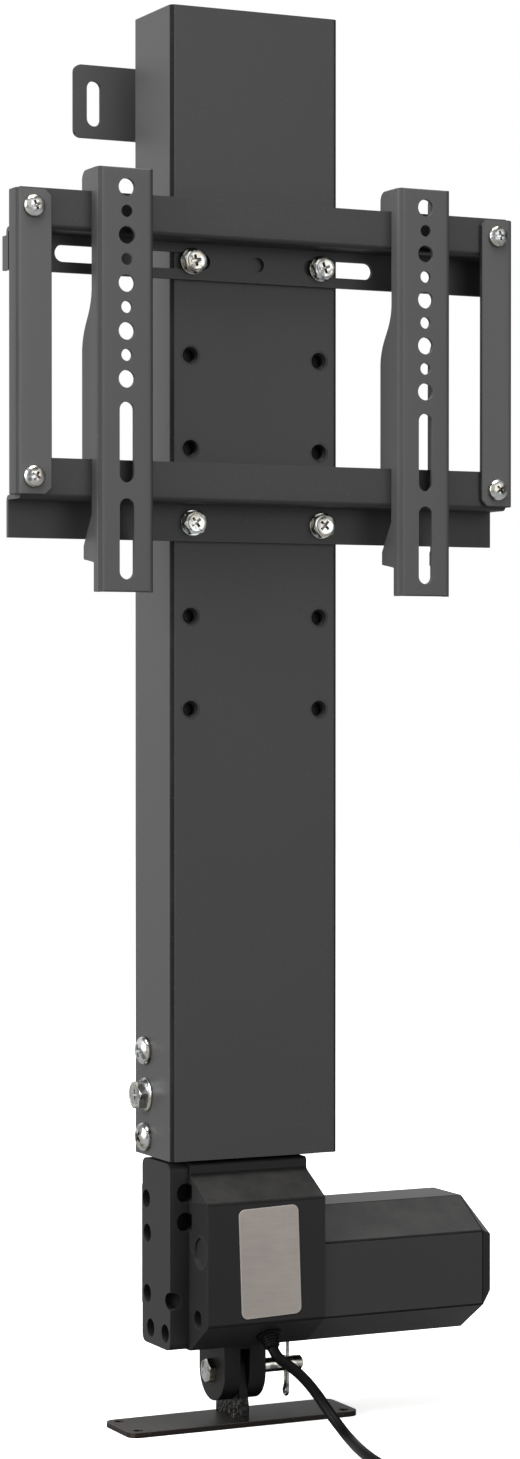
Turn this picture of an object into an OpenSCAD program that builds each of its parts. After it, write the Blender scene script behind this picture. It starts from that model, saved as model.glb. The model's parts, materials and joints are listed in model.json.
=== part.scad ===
// Motorised lift for a flat television, shown fully lowered.
// Three nested column sections stand on a gearbox with a horizontal motor.
// +X is to the right, -Y is the television side, +Z is up, and z = 0 is the floor.

/* [Column] */
// Width of the outer column section
column_w = 100; // [96:1:110]
// Depth of the outer column section
column_d = 50; // [48:1:56]
// Length of the outer column section
column_h = 620; // [600:5:680]
// Sheet thickness of the outer section
column_wall = 2; // [1.5:0.1:2.5]
// Sheet thickness of the two inner sections
stage_wall = 1.5; // [1.2:0.1:1.8]
// Gap between sections at the sides and the back
stage_gap = 2.5; // [2.2:0.1:3]
// Gap behind the front wall of the outer section
front_gap = 6.5; // [6:0.1:7]
// Width of the opening along the back of the outer section
back_slot_w = 68; // [62:1:74]
// Bend radius of the column sheet, at the middle of the sheet
column_bend = 2; // [2:0.5:4]
// Travel of each of the two moving sections
stage_travel = 450; // [300:10:460]
// Height of the sliding pads
glide_h = 36; // [24:2:44]
// Air left between a sliding pad and the section it runs on
glide_clear = 0.3; // [0.2:0.05:0.5]

/* [Gearbox] */
// Height of the gearbox underside above the floor
gear_z = 45; // [43:1:60]
// Height of the gearbox
gear_h = 101; // [98:1:110]
// Width of the main casting
case_w = 70; // [66:1:76]
// Offset of the main casting to the left of the column axis
case_shift = 2; // [0:0.5:3]
// Depth of the main casting
case_d = 88; // [84:1:96]
// Depth of the flat on top and below
case_flat_d = 42; // [38:1:46]
// Height of the upper slope
case_top_slope = 19; // [16:1:22]
// Height of the lower slope
case_low_slope = 16; // [14:1:20]
// Wall of the main casting
case_wall = 6; // [5:0.5:7]
// Width of the ribbed block on the left
block_w = 11; // [9:0.5:14]
// Depth of the ribbed block on the left
block_d = 37.5; // [33:0.5:40]

/* [Motor] */
// Length of the motor housing
motor_l = 98.6; // [80:0.2:120]
// Depth of the motor housing
motor_d = 84; // [78:1:88]
// Height of the motor housing
motor_h = 74; // [70:1:76]
// Depth of the motor's top flat
motor_flat_d = 32; // [28:1:38]
// Height of the motor's front flat
motor_flat_h = 41; // [36:1:46]
// Length of the tapered end cap
motor_cap_l = 13; // [10:1:18]
// Height of the motor axis above the gearbox underside
motor_axis_h = 36; // [36:0.5:38]

/* [Drive] */
// Across flats of the hexagonal drive rod
hex_af = 7; // [6:0.1:7.4]
// Diameter of the plain part of the drive rod
rod_d = 12; // [10:0.5:13]
// Outside diameter of the hollow screw
screw_od = 20; // [19.5:0.1:20.4]
// Inside diameter of the hollow screw
screw_id = 15; // [14.6:0.1:15.4]
// Outside diameter of the lifting tube inside the screw
tube_od = 13.6; // [13:0.1:14]
// Inside diameter of the lifting tube
tube_id = 9.2; // [9:0.1:9.6]
// Radial running clearance
run_clear = 0.05; // [0.03:0.01:0.08]
// Teeth on each bevel gear
bevel_teeth = 16; // [12:1:18]
// Face width of the bevel gears, along the axis
bevel_face = 9; // [6:0.5:10]
// Outside diameter of the ball bearings
bearing_od = 26; // [24:0.5:27]
// Width of the ball bearings
bearing_w = 7; // [6:0.5:8]

/* [Foot] */
// Width of the foot plate
foot_w = 138; // [120:1:160]
// Depth of the foot plate
foot_d = 38; // [36:1:44]
// Thickness of the foot plate
foot_t = 3; // [2.5:0.5:4]
// Distance between the foot screw holes, sideways
foot_hole_w = 124; // [104:1:126]
// Distance between the foot screw holes, front to back
foot_hole_d = 26; // [24:1:28]
// Diameter of the foot screw holes
foot_hole = 5.5; // [4.5:0.1:6]
// Height of the hinge pin above the floor
pin_z = 29; // [28:0.5:30]
// Diameter of the hinge pin
pin_d = 8; // [7:0.5:9]
// Width of the fork
fork_w = 25; // [23:0.5:28]
// Depth of the fork
fork_d = 33; // [31:1:34]
// Thickness of the tongue between the fork's ears
tongue_t = 5; // [4:0.5:6]

/* [Television frame] */
// Length of the two rails
rail_l = 288.6; // [270:0.2:320]
// Sheet thickness of the rails, bars and arms
sheet_t = 2.5; // [2:0.1:3]
// Depth of the rails
rail_d = 20; // [18:0.5:22]
// Height of each rail flange
flange_h = 20; // [18:0.5:22]
// Distance of the top row of inserts below the column top
insert_top = 137; // [130:1:150]
// Step between insert rows
insert_step = 50; // [45:1:50]
// Distance between the two rails
rail_pitch = 140; // [130:1:160]
// Distance of each column of inserts from the middle
insert_x = 38.5; // [34:0.5:40]
// Width of the side bars
bar_w = 20; // [16:1:22]
// Width of the arms
arm_w = 32; // [30:1:36]
// Length of the arms
arm_l = 221.5; // [216:0.5:240]
// Depth of the arms at the hooks
arm_d = 22.7; // [22:0.1:23]
// Distance of each arm's middle from the rail ends
arm_inset = 55.8; // [45:0.1:84]
// Distance of the arm tops above the upper row of bolts
arm_rise = 43; // [42.5:0.1:46]
// Step between the holes along an arm
arm_hole_step = 12.5; // [12:0.1:13]
// Diameter of the large arm holes
arm_hole_large = 9.3; // [8.4:0.1:10]
// Diameter of the small arm holes
arm_hole_small = 6.4; // [5.4:0.1:7]
// Width of the long arm slots
arm_slot_w = 8.3; // [6.4:0.1:9]
// Length of the long arm slots
arm_slot_l = 42.3; // [36:0.1:44]

/* [Wall bracket] */
// Width of the wall bracket
wall_w = 156; // [140:1:170]
// Height of the wall bracket
wall_h = 40; // [38:1:46]
// Thickness of the wall bracket
wall_t = 3; // [2.5:0.5:4]
// Distance of the wall bracket's back behind the column axis
wall_y = 45; // [40:1:60]
// Distance of the wall bracket's top below the column top
wall_drop = 23; // [22:1:40]
// Width of the neck that passes through the back of the column
neck_w = 50; // [44:1:54]
// Distance of each wall slot from the middle
wall_slot_x = 66.3; // [60:0.1:68]
// Width of the wall slots
wall_slot_w = 8.5; // [6:0.1:10]
// Length of the wall slots
wall_slot_l = 25; // [20:1:28]

/* [Cable] */
// Diameter of the cable
cord_d = 6; // [5:0.1:6.4]
// Distance between neighbouring turns of the coil
coil_pitch = 6.6; // [6.5:0.1:8]
// Radius of the middle turn of the coil
coil_mid_r = 32; // [30:0.5:40]
// Turns in the coil
coil_turns = 6.25; // [4.25:1:8.25]

/* [Hidden] */
$fn = 48;
through = 0.5;
black = [0.12, 0.12, 0.12];
dark = [0.2, 0.2, 0.2];
grey = [0.27, 0.27, 0.27];
zinc = [0.75, 0.75, 0.76];
steel = [0.6, 0.6, 0.62];
pad_white = [0.85, 0.85, 0.8];
brass = [0.75, 0.6, 0.3];

// Heights of the stack
gear_top = gear_z + gear_h;
column_z = gear_top + 2;
column_top = column_z + column_h;
cap_t = 4;
socket_t = 3;
inner_z = gear_top + socket_t;
stage_top_gap = 2;
head_t = 10;
head_z = column_top - cap_t - 10 - head_t;
inner_top = head_z - 4;
middle_z = inner_z + 1;
middle_top = head_z + head_t;

// Section sizes, with a positive Y edge at the back
outer_in_w = column_w - 2 * column_wall;
outer_back = column_d / 2 - column_wall;
outer_front = -outer_back;
middle_w = outer_in_w - 2 * stage_gap;
middle_back = outer_back - stage_gap;
middle_front = outer_front + front_gap;
middle_in_w = middle_w - 2 * stage_wall;
inner_w = middle_in_w - 2 * stage_gap;
inner_back = middle_back - stage_wall - stage_gap;
inner_front = middle_front + stage_wall + stage_gap;
inner_in_w = inner_w - 2 * stage_wall;
inner_in_back = inner_back - stage_wall;
inner_in_front = inner_front + stage_wall;
middle_slot_w = back_slot_w - 4;
glide_t = stage_gap - glide_clear;

// Television frame
face_y = -column_d / 2;
upper_row = column_top - insert_top;
lower_row = upper_row - rail_pitch;
insert_rows = [0, insert_step, 2 * insert_step];
rail_front = face_y - rail_d;
seat = 0.3;
web_rise = flange_h / 2 - 0.3;
flange_rise = web_rise + flange_h + 1.3;
bar_gap = 0.8;
bar_front = rail_front - sheet_t;
bar_out = rail_l / 2 + bar_gap + sheet_t;
arm_ahead = 7.5;
arm_front = bar_front - arm_ahead;
arm_x = rail_l / 2 - arm_inset;
arm_top = upper_row + arm_rise;
arm_low = arm_top - arm_l;
m8_head = 12;
m8_head_h = 4.3;
m8_flange = 14.2;
m8_flange_t = 1;
m8_core = 6.8;
insert_od = 11;
insert_l = column_wall + 4.5;
insert_flange = insert_od + 1.6;
rail_hole = 9;
bar_screw_d = 5.2;
bar_screw_l = 6;
bar_head_d = 12;
bar_head_h = 3.6;
arm_reach = rail_front - seat - arm_front;

// Gearbox and drive
case_left = -case_w / 2 - case_shift;
case_right = case_w / 2 - case_shift;
case_front = -case_d / 2;
motor_z = gear_z + motor_axis_h;
low_angle = atan(case_low_slope / (case_d / 2 - case_flat_d / 2));
cover_t = 5;
cover_w = 46;
cover_d = 32;
ledge_t = 4;
bevel_room = 3;
bevel_r = min(case_right - case_wall - bevel_room, motor_axis_h - cover_t - ledge_t - bevel_room);
bevel_near = bevel_r - bevel_face;
lower_seat = gear_z + cover_t - 1;
rod_low = lower_seat + 1;
screw_low = gear_top + 30;
bush_h = 12;
rod_top = screw_low + stage_travel + bush_h + 30;
nut_h = 18;
collar_d = 26;
collar_h = 3;
screw_bearing_od = 26;
upper_nut_h = 16;
tube_low = screw_low + bush_h + 4;
room_floor = gear_z + cover_t + ledge_t;
boss_d = bearing_od + 3;
pinion_end = case_right + 9;
shaft_d = 12;

// Foot and hinge
foot_x = -2;
fork_r = fork_d / 2;
hinge_clear = run_clear;
tongue_gap = 0.4;
fork_web = 2.5;
pin_head_h = 4;
pin_end = 40;
clip_x = 31.7;
clip_wire = 2;

// Cable
cord_r = cord_d / 2;
gland_l = 8;
gland_x = 5;
gland_y = 1 - (case_flat_d + case_d) / 4;
gland_z = gear_z + (abs(gland_y) - case_flat_d / 2) * tan(low_angle);
coil_layer_turns = coil_turns / 2;
coil_out_r = coil_mid_r + coil_pitch * coil_layer_turns / 2;
coil_start = [14, -206, 3.1];
coil_centre = [coil_start.x - coil_out_r, coil_start.y];
coil_z = [coil_start.z, coil_start.z + coil_pitch];
coil_rings = 24;
tail_l = 36;
plug_r = 7;
plug_l = 34;
route = [[6.9, -39.5, 40.9], [11.4, -42.8, 36.9], [15.8, -46, 32.8], [20, -49.6, 27.6], [23.6, -54, 21.4],
    [26.4, -59.4, 14.9], [28.4, -66.6, 9], [28.6, -76, 5.1], [27.1, -86, 3.5], [24.1, -98, 3.1],
    [20.3, -114, 3.1], [16.9, -132, 3.1], [14.8, -152, 3.1], [14, -172, 3.1], [14, -190, 3.1]];

// Two-dimensional helpers
function unit(v) = v / norm(v);
function left_of(v) = [-v.y, v.x];
function turned(v, a) = [v.x * cos(a) - v.y * sin(a), v.x * sin(a) + v.y * cos(a)];
function bend_points(p0, p, p1, r, side, n) =
    let (a = unit(p - p0), b = unit(p1 - p), way = sign(cross(a, b)), half = acos(a * b) / 2)
    let (c = p - a * r * tan(half) + way * r * left_of(a), rr = r - way * side)
    [for (k = [0:n]) c + rr * turned(-way * left_of(a), way * 2 * half * k / n)];
function side_line(p, r, side, n = 4) = let (last = len(p) - 1) concat(
    [p[0] + side * left_of(unit(p[1] - p[0]))],
    [for (i = [1:last - 1]) each bend_points(p[i - 1], p[i], p[i + 1], r, side, n)],
    [p[last] + side * left_of(unit(p[last] - p[last - 1]))]);
function reversed(v) = [for (i = [len(v) - 1:-1:0]) v[i]];
function sheet_outline(p, t, r) = concat(side_line(p, r, t / 2), reversed(side_line(p, r, -t / 2)));
function rounded(p, r, n = 5) = let (m = len(p))
    [for (i = [0:m - 1]) each bend_points(p[(i + m - 1) % m], p[i], p[(i + 1) % m], r, 0, n)];
function box_points(w, h) = [[-w / 2, -h / 2], [w / 2, -h / 2], [w / 2, h / 2], [-w / 2, h / 2]];

// A sheet bent along a path of points at the middle of the sheet
module bent_sheet(path, t, r, h) {
    linear_extrude(h) polygon(sheet_outline(path, t, r));
}

// A profile drawn in Y and Z, extruded along X from x0
module along_x(x0, length) {
    translate([x0, 0, 0]) rotate([90, 0, 90]) linear_extrude(length) children();
}

// A profile drawn in X and Z, extruded towards -Y from y0
module along_y(y0, length) {
    translate([0, y0, 0]) rotate([90, 0, 0]) linear_extrude(length) children();
}

module slot_shape(l, w) {
    square([l - w, w], center = true);
    for (s = [-1, 1]) translate([s * (l - w) / 2, 0]) circle(d = w);
}

// A round hole or shank along Y, centred on y0
module cross_y(y0, d, length) {
    translate([0, y0, 0]) rotate([90, 0, 0]) cylinder(d = d, h = length, center = true);
}

module cross_x(x0, d, length) {
    translate([x0, 0, 0]) rotate([0, 90, 0]) cylinder(d = d, h = length, center = true);
}

// A pan head standing on z = 0 with its shank below
module pan_screw(head_d, head_h, shank_d, shank_l) {
    rotate_extrude() polygon([[0, -shank_l], [shank_d / 2, -shank_l], [shank_d / 2, 0],
        [head_d / 2, 0], [head_d / 2, head_h * 0.35], [head_d * 0.44, head_h * 0.7],
        [head_d * 0.3, head_h * 0.93], [0, head_h]]);
}

// A hexagon head with a washer flange, standing on z = 0 with its shank below
module flange_bolt(af, head_h, flange_d, flange_t, shank_d, shank_l) {
    cylinder(d = flange_d, h = flange_t);
    translate([0, 0, flange_t]) cylinder(d = af / cos(30), h = head_h, $fn = 6);
    translate([0, 0, -shank_l]) cylinder(d = shank_d, h = shank_l);
}

// Small screws share one shank and one head
screw_m4 = 4.1;
small_head_d = 7;

// Gearbox casting
case_riser = 6.5;
function half_profile(inset, way) = [[way * (case_flat_d / 2 - inset / 2), gear_z + inset],
    [way * (case_d / 2 - inset), gear_z + case_low_slope + inset / 2],
    [way * (case_d / 2 - inset), gear_top - case_top_slope - inset / 2],
    [way * (case_flat_d / 2 - inset / 2), gear_top - case_riser - inset / 2],
    [way * (case_flat_d / 2 - inset / 2), gear_top - inset]];
function case_profile(inset) = concat(half_profile(inset, 1), reversed(half_profile(inset, -1)));
gear_room_top = motor_z + bevel_r + 9;
plug_y = case_front + 10.2;
plug_z = gear_z + 55;
plug_hole_d = 18.4;
plug_depth = 3;
plug_recess = 1.8;
side_hole = 9.7;
low_hole_y = gland_y + 0.5;
low_hole_z = gear_z + 18.5;
corner_hole_d = 10.4;
corner_hole_x = case_left - 1.7;
corner_holes = [85, 69.3];
block_shift = -0.4;
block_front = block_shift - block_d / 2;

module gear_room() {
    intersection() {
        along_x(case_left + case_wall, case_w - 2 * case_wall) polygon(case_profile(case_wall));
        translate([case_left, -case_d / 2, room_floor]) cube([case_w, case_d, gear_room_top - room_floor]);
    }
}

module gearbox_case() {
    color(black) difference() {
        along_x(case_left, case_w) polygon(rounded(case_profile(0), 2, 3));
        gear_room();
        translate([foot_x - cover_w / 2, -cover_d / 2, gear_z - through])
            cube([cover_w, cover_d, cover_t + through]);
        translate([0, 0, gear_z + cover_t - through]) cylinder(d = boss_d + 0.6, h = ledge_t + 2 * through);
        for (p = cover_screw_places) translate([p.x, p.y, gear_z + cover_t - through])
            cylinder(d = screw_m4 + 0.1, h = ledge_t + 2 * through);
        translate([0, 0, gear_room_top - 1]) cylinder(d = bearing_od, h = bearing_w + 1);
        translate([0, 0, gear_z + gear_h / 2]) cylinder(d = rod_d + 8, h = gear_h);
        translate([0, 0, motor_z]) cross_x(case_right, bearing_od, 2 * case_wall + 2);
        translate([case_left - through, plug_y, plug_z]) rotate([0, 90, 0])
            cylinder(d = plug_hole_d, h = plug_depth + through);
        translate([0, low_hole_y, low_hole_z]) cross_x(case_left, side_hole, 8);
        for (p = socket_screw_places) translate([p.x, p.y, gear_top - 9]) cylinder(d = screw_m4 + 0.1, h = 10);
        corner_pockets();
    }
}

// Ribbed block that closes the left side, with its open pockets
side_holes = [[12.9, 78.5], [11.5, 60], [11.5, 27], [7, 8.8], [-12.4, 8.8]];
block_corner = 4.5;
scoop_d = 9.4;
scoop_z = 27;

// Round pockets where the block's front meets the casting
module corner_pockets() {
    for (z = corner_holes) translate([corner_hole_x, block_front + 3, gear_z + z])
        rotate([90, 0, 0]) cylinder(d = corner_hole_d, h = 14, center = true);
}

module side_block() {
    color(dark) difference() {
        along_x(case_left - block_w, block_w) translate([block_shift, gear_z + gear_h / 2])
            polygon(rounded(box_points(block_d, gear_h), block_corner, 4));
        for (p = side_holes) translate([0, p[0], gear_z + p[1]]) cross_x(case_left - block_w, side_hole, 16);
        corner_pockets();
        translate([case_left - block_w, block_front, gear_z + scoop_z]) rotate([0, 90, 45])
            cylinder(d = scoop_d, h = 18, center = true);
    }
}

cover_screw_places = [for (x = [-18, 18]) for (y = [-11, 11]) [foot_x + x, y]];

// Plate that closes the gearbox from below and seats the lower rod bearing
module gearbox_cover() {
    color(dark) difference() {
        union() {
            translate([foot_x - cover_w / 2 + 0.2, -cover_d / 2 + 0.2, gear_z])
                cube([cover_w - 0.4, cover_d - 0.4, cover_t]);
            translate([0, 0, gear_z]) cylinder(d = boss_d, h = lower_seat + bearing_w - gear_z);
        }
        translate([0, 0, lower_seat]) cylinder(d = bearing_od, h = bearing_w + 1);
        for (p = cover_screw_places) translate([p.x, p.y, gear_z - through]) cylinder(d = 4.3, h = cover_t + 1);
    }
}

module cover_screws() {
    color(zinc) for (p = cover_screw_places) translate([p.x, p.y, gear_z]) rotate([180, 0, 0])
        pan_screw(small_head_d, 2, screw_m4, cover_t + ledge_t - 0.5);
}

module case_plug() {
    plug_r_out = plug_hole_d / 2 - 0.05;
    color(black) translate([case_left, plug_y, plug_z]) rotate([0, -90, 0]) rotate_extrude()
        polygon([[0, -plug_depth], [plug_r_out, -plug_depth], [plug_r_out, -0.3], [plug_r_out - 1.2, -0.3],
        [plug_r_out - 1.6, -plug_recess], [0, -plug_recess]]);
}

// Motor
function motor_outline(inset) = let (fd = motor_flat_d / 2, fh = motor_flat_h / 2)
    let (d = motor_d / 2 - inset, h = motor_h / 2 - inset)
    [[-fd + inset / 3, -h], [fd - inset / 3, -h], [d, -fh + inset / 3], [d, fh - inset / 3],
    [fd - inset / 3, h], [-fd + inset / 3, h], [-d, fh - inset / 3], [-d, -fh + inset / 3]];
motor_end = case_right + motor_l;
motor_screw_r = 19;
motor_head_d = 8;
motor_head_h = 2.6;
motor_bore = 4.6;
motor_bore_l = 4 * motor_cap_l;

module motor_housing() {
    color(dark) difference() {
        along_x(case_right, motor_l) translate([0, motor_z]) polygon(rounded(motor_outline(0), 1.5, 2));
        translate([0, 0, motor_z]) cross_x(case_right, shaft_d + 4, 24);
        for (a = [45:90:315]) translate([0, motor_screw_r * cos(a), motor_z + motor_screw_r * sin(a)])
            cross_x(motor_end, screw_m4 + 0.1, 20);
    }
}

module motor_end_cap() {
    color(dark) difference() {
        hull() {
            along_x(motor_end, 0.6) translate([0, motor_z]) polygon(motor_outline(0));
            along_x(motor_end + motor_cap_l - 0.6, 0.6) translate([0, motor_z])
                polygon(motor_outline(motor_cap_l * 1.1));
        }
        for (a = [45:90:315]) translate([0, motor_screw_r * cos(a), motor_z + motor_screw_r * sin(a)])
            cross_x(motor_end, motor_bore, motor_bore_l);
        for (a = [45:90:315]) translate([motor_end + motor_cap_l - 3, motor_screw_r * cos(a),
            motor_z + motor_screw_r * sin(a)]) rotate([0, 90, 0]) cylinder(d = motor_head_d + 1, h = 9);
    }
}

module motor_screws() {
    color(zinc) for (a = [45:90:315]) translate([motor_end + motor_cap_l - 3, motor_screw_r * cos(a),
        motor_z + motor_screw_r * sin(a)]) rotate([0, 90, 0])
        pan_screw(motor_head_d, motor_head_h, screw_m4, motor_cap_l + 4);
}

// A ball bearing drawn as its two rings and the shield between them
module ball_bearing(id, od, w) {
    ring = (od - id) / 6;
    dip = 0.5;
    rotate_extrude() polygon([[id / 2, 0], [od / 2, 0], [od / 2, w], [od / 2 - ring, w],
        [od / 2 - ring - 0.2, w - dip], [id / 2 + ring + 0.2, w - dip], [id / 2 + ring, w], [id / 2, w]]);
}

module rod_bearings() {
    color(steel) {
        translate([0, 0, gear_room_top]) ball_bearing(rod_d + 2 * run_clear, bearing_od - 0.04, bearing_w);
        translate([0, 0, lower_seat]) ball_bearing(rod_d + 2 * run_clear, bearing_od - 0.04, bearing_w);
    }
}

module shaft_bearing() {
    color(steel) translate([case_right - case_wall, 0, motor_z]) rotate([0, 90, 0])
        ball_bearing(shaft_d + 2 * run_clear, bearing_od - 0.04, case_wall);
}

// One bevel gear with its pitch apex at the origin and its back towards +Z
module bevel_wheel(bore, turn, hub_l) {
    dedendum = 3.4;
    addendum = 1.4;
    pitch_len = bevel_face * sqrt(2);
    difference() {
        union() {
            translate([0, 0, bevel_near])
                cylinder(r1 = bevel_near - dedendum, r2 = bevel_r - dedendum, h = bevel_face);
            translate([0, 0, bevel_r]) cylinder(r = bevel_r - dedendum, h = 2);
            translate([0, 0, bevel_r + 2]) cylinder(d = bore + 10, h = hub_l);
            for (i = [0:bevel_teeth - 1]) rotate([0, 0, turn + i * 360 / bevel_teeth])
                translate([bevel_near, 0, bevel_near]) rotate([0, 45, 0])
                translate([-dedendum, -1.15, 0]) cube([dedendum + addendum, 2.3, pitch_len]);
        }
        translate([0, 0, bevel_near - 6]) cylinder(d = bore, h = bevel_face + 20);
    }
}

module bevel_gear() {
    color(steel) translate([0, 0, motor_z]) bevel_wheel(rod_d + 0.1, 0, 5);
}

module bevel_pinion() {
    color(steel) translate([0, 0, motor_z]) rotate([0, 90, 0]) {
        bevel_wheel(shaft_d, 180 / bevel_teeth, 0.6);
        translate([0, 0, bevel_near]) cylinder(d = shaft_d, h = pinion_end - bevel_near);
    }
}

// Rod that turns the hollow screw and lets it slide
module drive_rod() {
    color(steel) {
        translate([0, 0, rod_low]) cylinder(d = rod_d, h = gear_top + 6 - rod_low);
        translate([0, 0, gear_top + 6]) cylinder(d = hex_af / cos(30), h = rod_top - gear_top - 6, $fn = 6);
    }
}

// Column sections
socket_screw_places = [for (x = [case_left + 7, case_right - 7])
    for (y = [inner_in_front + 5, inner_in_back - 5]) [x, y]];

module column_socket() {
    plug_h = 24;
    plug_corner = 2.5;
    y_mid = (inner_in_front + inner_in_back) / 2;
    color(dark) difference() {
        union() {
            translate([-inner_w / 2, inner_front, gear_top]) cube([inner_w, inner_back - inner_front, socket_t]);
            translate([0, y_mid, inner_z]) linear_extrude(plug_h)
                polygon(rounded(box_points(inner_in_w - 0.4, inner_in_back - inner_in_front - 0.4), plug_corner, 3));
        }
        translate([0, 0, gear_top - through]) cylinder(d = rod_d + 6, h = plug_h + socket_t + 1);
        translate([-20, y_mid - 8, inner_z + 3]) cube([40, 16, plug_h]);
        for (p = socket_screw_places) {
            translate([p.x, p.y, gear_top - through]) cylinder(d = screw_m4 + 0.3, h = 30);
            translate([p.x, p.y, gear_top + 6]) cylinder(d = small_head_d + 1, h = 30);
        }
    }
}

module socket_screws() {
    color(zinc) for (p = socket_screw_places) translate([p.x, p.y, gear_top + 6])
        pan_screw(small_head_d, 2.4, screw_m4, 14);
}

module inner_column() {
    y_mid = (inner_front + inner_back) / 2;
    color(grey) difference() {
        translate([0, y_mid, inner_z]) linear_extrude(inner_top - inner_z) difference() {
            polygon(rounded(box_points(inner_w, inner_back - inner_front), 3, 4));
            polygon(rounded(box_points(inner_in_w, inner_in_back - inner_in_front), 1.5, 4));
        }
        for (s = [-1, 1]) translate([s * neck_screw_x, 0, wall_z]) cross_y(inner_back, neck_screw_d + 0.2, 8);
    }
}

// Sliding pads fixed outside the top of the inner section
module inner_glides() {
    pad_top = inner_top - 4;
    pad_y = inner_front + 4;
    pad_d = inner_back - inner_front - 8;
    color(pad_white) for (s = [-1, 1]) {
        translate([s * (inner_w + glide_t) / 2 - glide_t / 2, pad_y, pad_top - glide_h])
            cube([glide_t, pad_d, glide_h]);
        translate([s * inner_w * 0.3 - 7, inner_front - glide_t, pad_top - glide_h]) cube([14, glide_t, glide_h]);
    }
}

// Nut block in the top of the inner section, which the hollow screw climbs through
module lower_nut() {
    y_mid = (inner_in_front + inner_in_back) / 2;
    color(brass) difference() {
        translate([0, y_mid, inner_top - nut_h]) linear_extrude(nut_h)
            polygon(rounded(box_points(inner_in_w - 0.4, inner_in_back - inner_in_front - 0.4), 1.5, 3));
        translate([0, 0, inner_top - nut_h - through]) cylinder(d = screw_od + 2 * run_clear, h = nut_h + 1);
        for (s = [-1, 1]) translate([s * neck_screw_x, 0, wall_z])
            cross_y(inner_in_back, neck_screw_core + 0.1, 12);
    }
}

// Wall bracket: a plate on a channel that passes through the open backs
wall_top = column_top - wall_drop;
wall_z = min(wall_top - wall_h / 2, inner_top - nut_h / 2);
neck_h = 34;
neck_t = 3;
neck_bend = 3;
neck_screw_d = 5;
neck_screw_core = 4.8;
neck_head_d = 9;
neck_screw_x = (neck_w - neck_t - neck_head_d) / 2 - neck_bend - 0.5;

module rear_bracket() {
    plate_mid = wall_y - wall_t / 2;
    neck_side = neck_w / 2 - neck_t / 2;
    neck_low = wall_top - wall_h + 3;
    neck_path = [[-neck_side, wall_y - wall_t], [-neck_side, inner_back + neck_t / 2],
        [neck_side, inner_back + neck_t / 2], [neck_side, wall_y - wall_t]];
    color(grey) {
        difference() {
            translate([0, 0, wall_top - wall_h / 2]) along_y(wall_y, wall_t)
                polygon(rounded(box_points(wall_w, wall_h), 4, 4));
            for (s = [-1, 1]) translate([s * wall_slot_x, plate_mid + 3, wall_top - wall_h / 2 - 1])
                rotate([90, 90, 0]) linear_extrude(6) slot_shape(wall_slot_l, wall_slot_w);
            for (s = [-1, 1]) translate([s * neck_screw_x, 0, wall_z]) cross_y(plate_mid, neck_head_d + 2, 6);
        }
        difference() {
            translate([0, 0, neck_low]) bent_sheet(neck_path, neck_t, neck_bend, neck_h);
            for (s = [-1, 1]) translate([s * neck_screw_x, 0, wall_z]) cross_y(inner_back, neck_screw_d + 0.2, 12);
        }
    }
}

module bracket_screws() {
    color(zinc) for (s = [-1, 1]) translate([s * neck_screw_x, inner_back + neck_t, wall_z]) rotate([-90, 0, 0])
        pan_screw(neck_head_d, 3, neck_screw_core, 8);
}

// Fork, pin, clip and foot
module ear_outline(r) {
    intersection() {
        translate([0, pin_z]) circle(r = r);
        translate([-r, 0]) square([2 * r, gear_z]);
    }
    translate([-r, pin_z]) square([2 * r, gear_z - pin_z]);
}

module hinge_fork() {
    slot_w = tongue_t + 2 * tongue_gap;
    color(dark) difference() {
        along_x(foot_x - fork_w / 2, fork_w) ear_outline(fork_r);
        translate([foot_x - slot_w / 2, -fork_r - 1, 0]) cube([slot_w, fork_d + 2, gear_z - fork_web]);
        translate([0, 0, pin_z]) cross_x(foot_x, pin_d + 2 * hinge_clear, fork_w + 2);
    }
}

module foot_tongue() {
    tongue_r = min(fork_r - 3, gear_z - fork_web - 1.5 - pin_z);
    shoulder_z = foot_t + 7;
    color(dark) difference() {
        along_x(foot_x - tongue_t / 2, tongue_t) {
            translate([0, pin_z]) circle(r = tongue_r);
            polygon([[-fork_r, foot_t], [fork_r, foot_t], [fork_r, shoulder_z], [tongue_r, pin_z],
                [-tongue_r, pin_z], [-fork_r, shoulder_z]]);
        }
        translate([0, 0, pin_z]) cross_x(foot_x, pin_d + 2 * hinge_clear, tongue_t + 2);
    }
}

module foot_plate() {
    color(dark) difference() {
        translate([foot_x, 0, 0]) linear_extrude(foot_t) polygon(rounded(box_points(foot_w, foot_d), 6, 5));
        for (x = [-1, 1]) for (y = [-1, 1])
            translate([foot_x + x * foot_hole_w / 2, y * foot_hole_d / 2, -through])
            cylinder(d = foot_hole, h = foot_t + 1);
    }
}

module hinge_pin() {
    head_x = foot_x - fork_w / 2;
    color(zinc) difference() {
        union() {
            translate([head_x - pin_head_h, 0, pin_z]) rotate([0, 90, 0])
                cylinder(d = (pin_d + 4) / cos(30), h = pin_head_h, $fn = 6);
            translate([head_x, 0, pin_z]) rotate([0, 90, 0]) cylinder(d = pin_d, h = pin_end - head_x - 1);
            translate([pin_end - 1, 0, pin_z]) rotate([0, 90, 0]) cylinder(d1 = pin_d, d2 = pin_d - 2, h = 1);
        }
        translate([clip_x, 0, pin_z - pin_d]) cylinder(d = clip_wire + 0.4, h = 2 * pin_d);
    }
}

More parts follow.
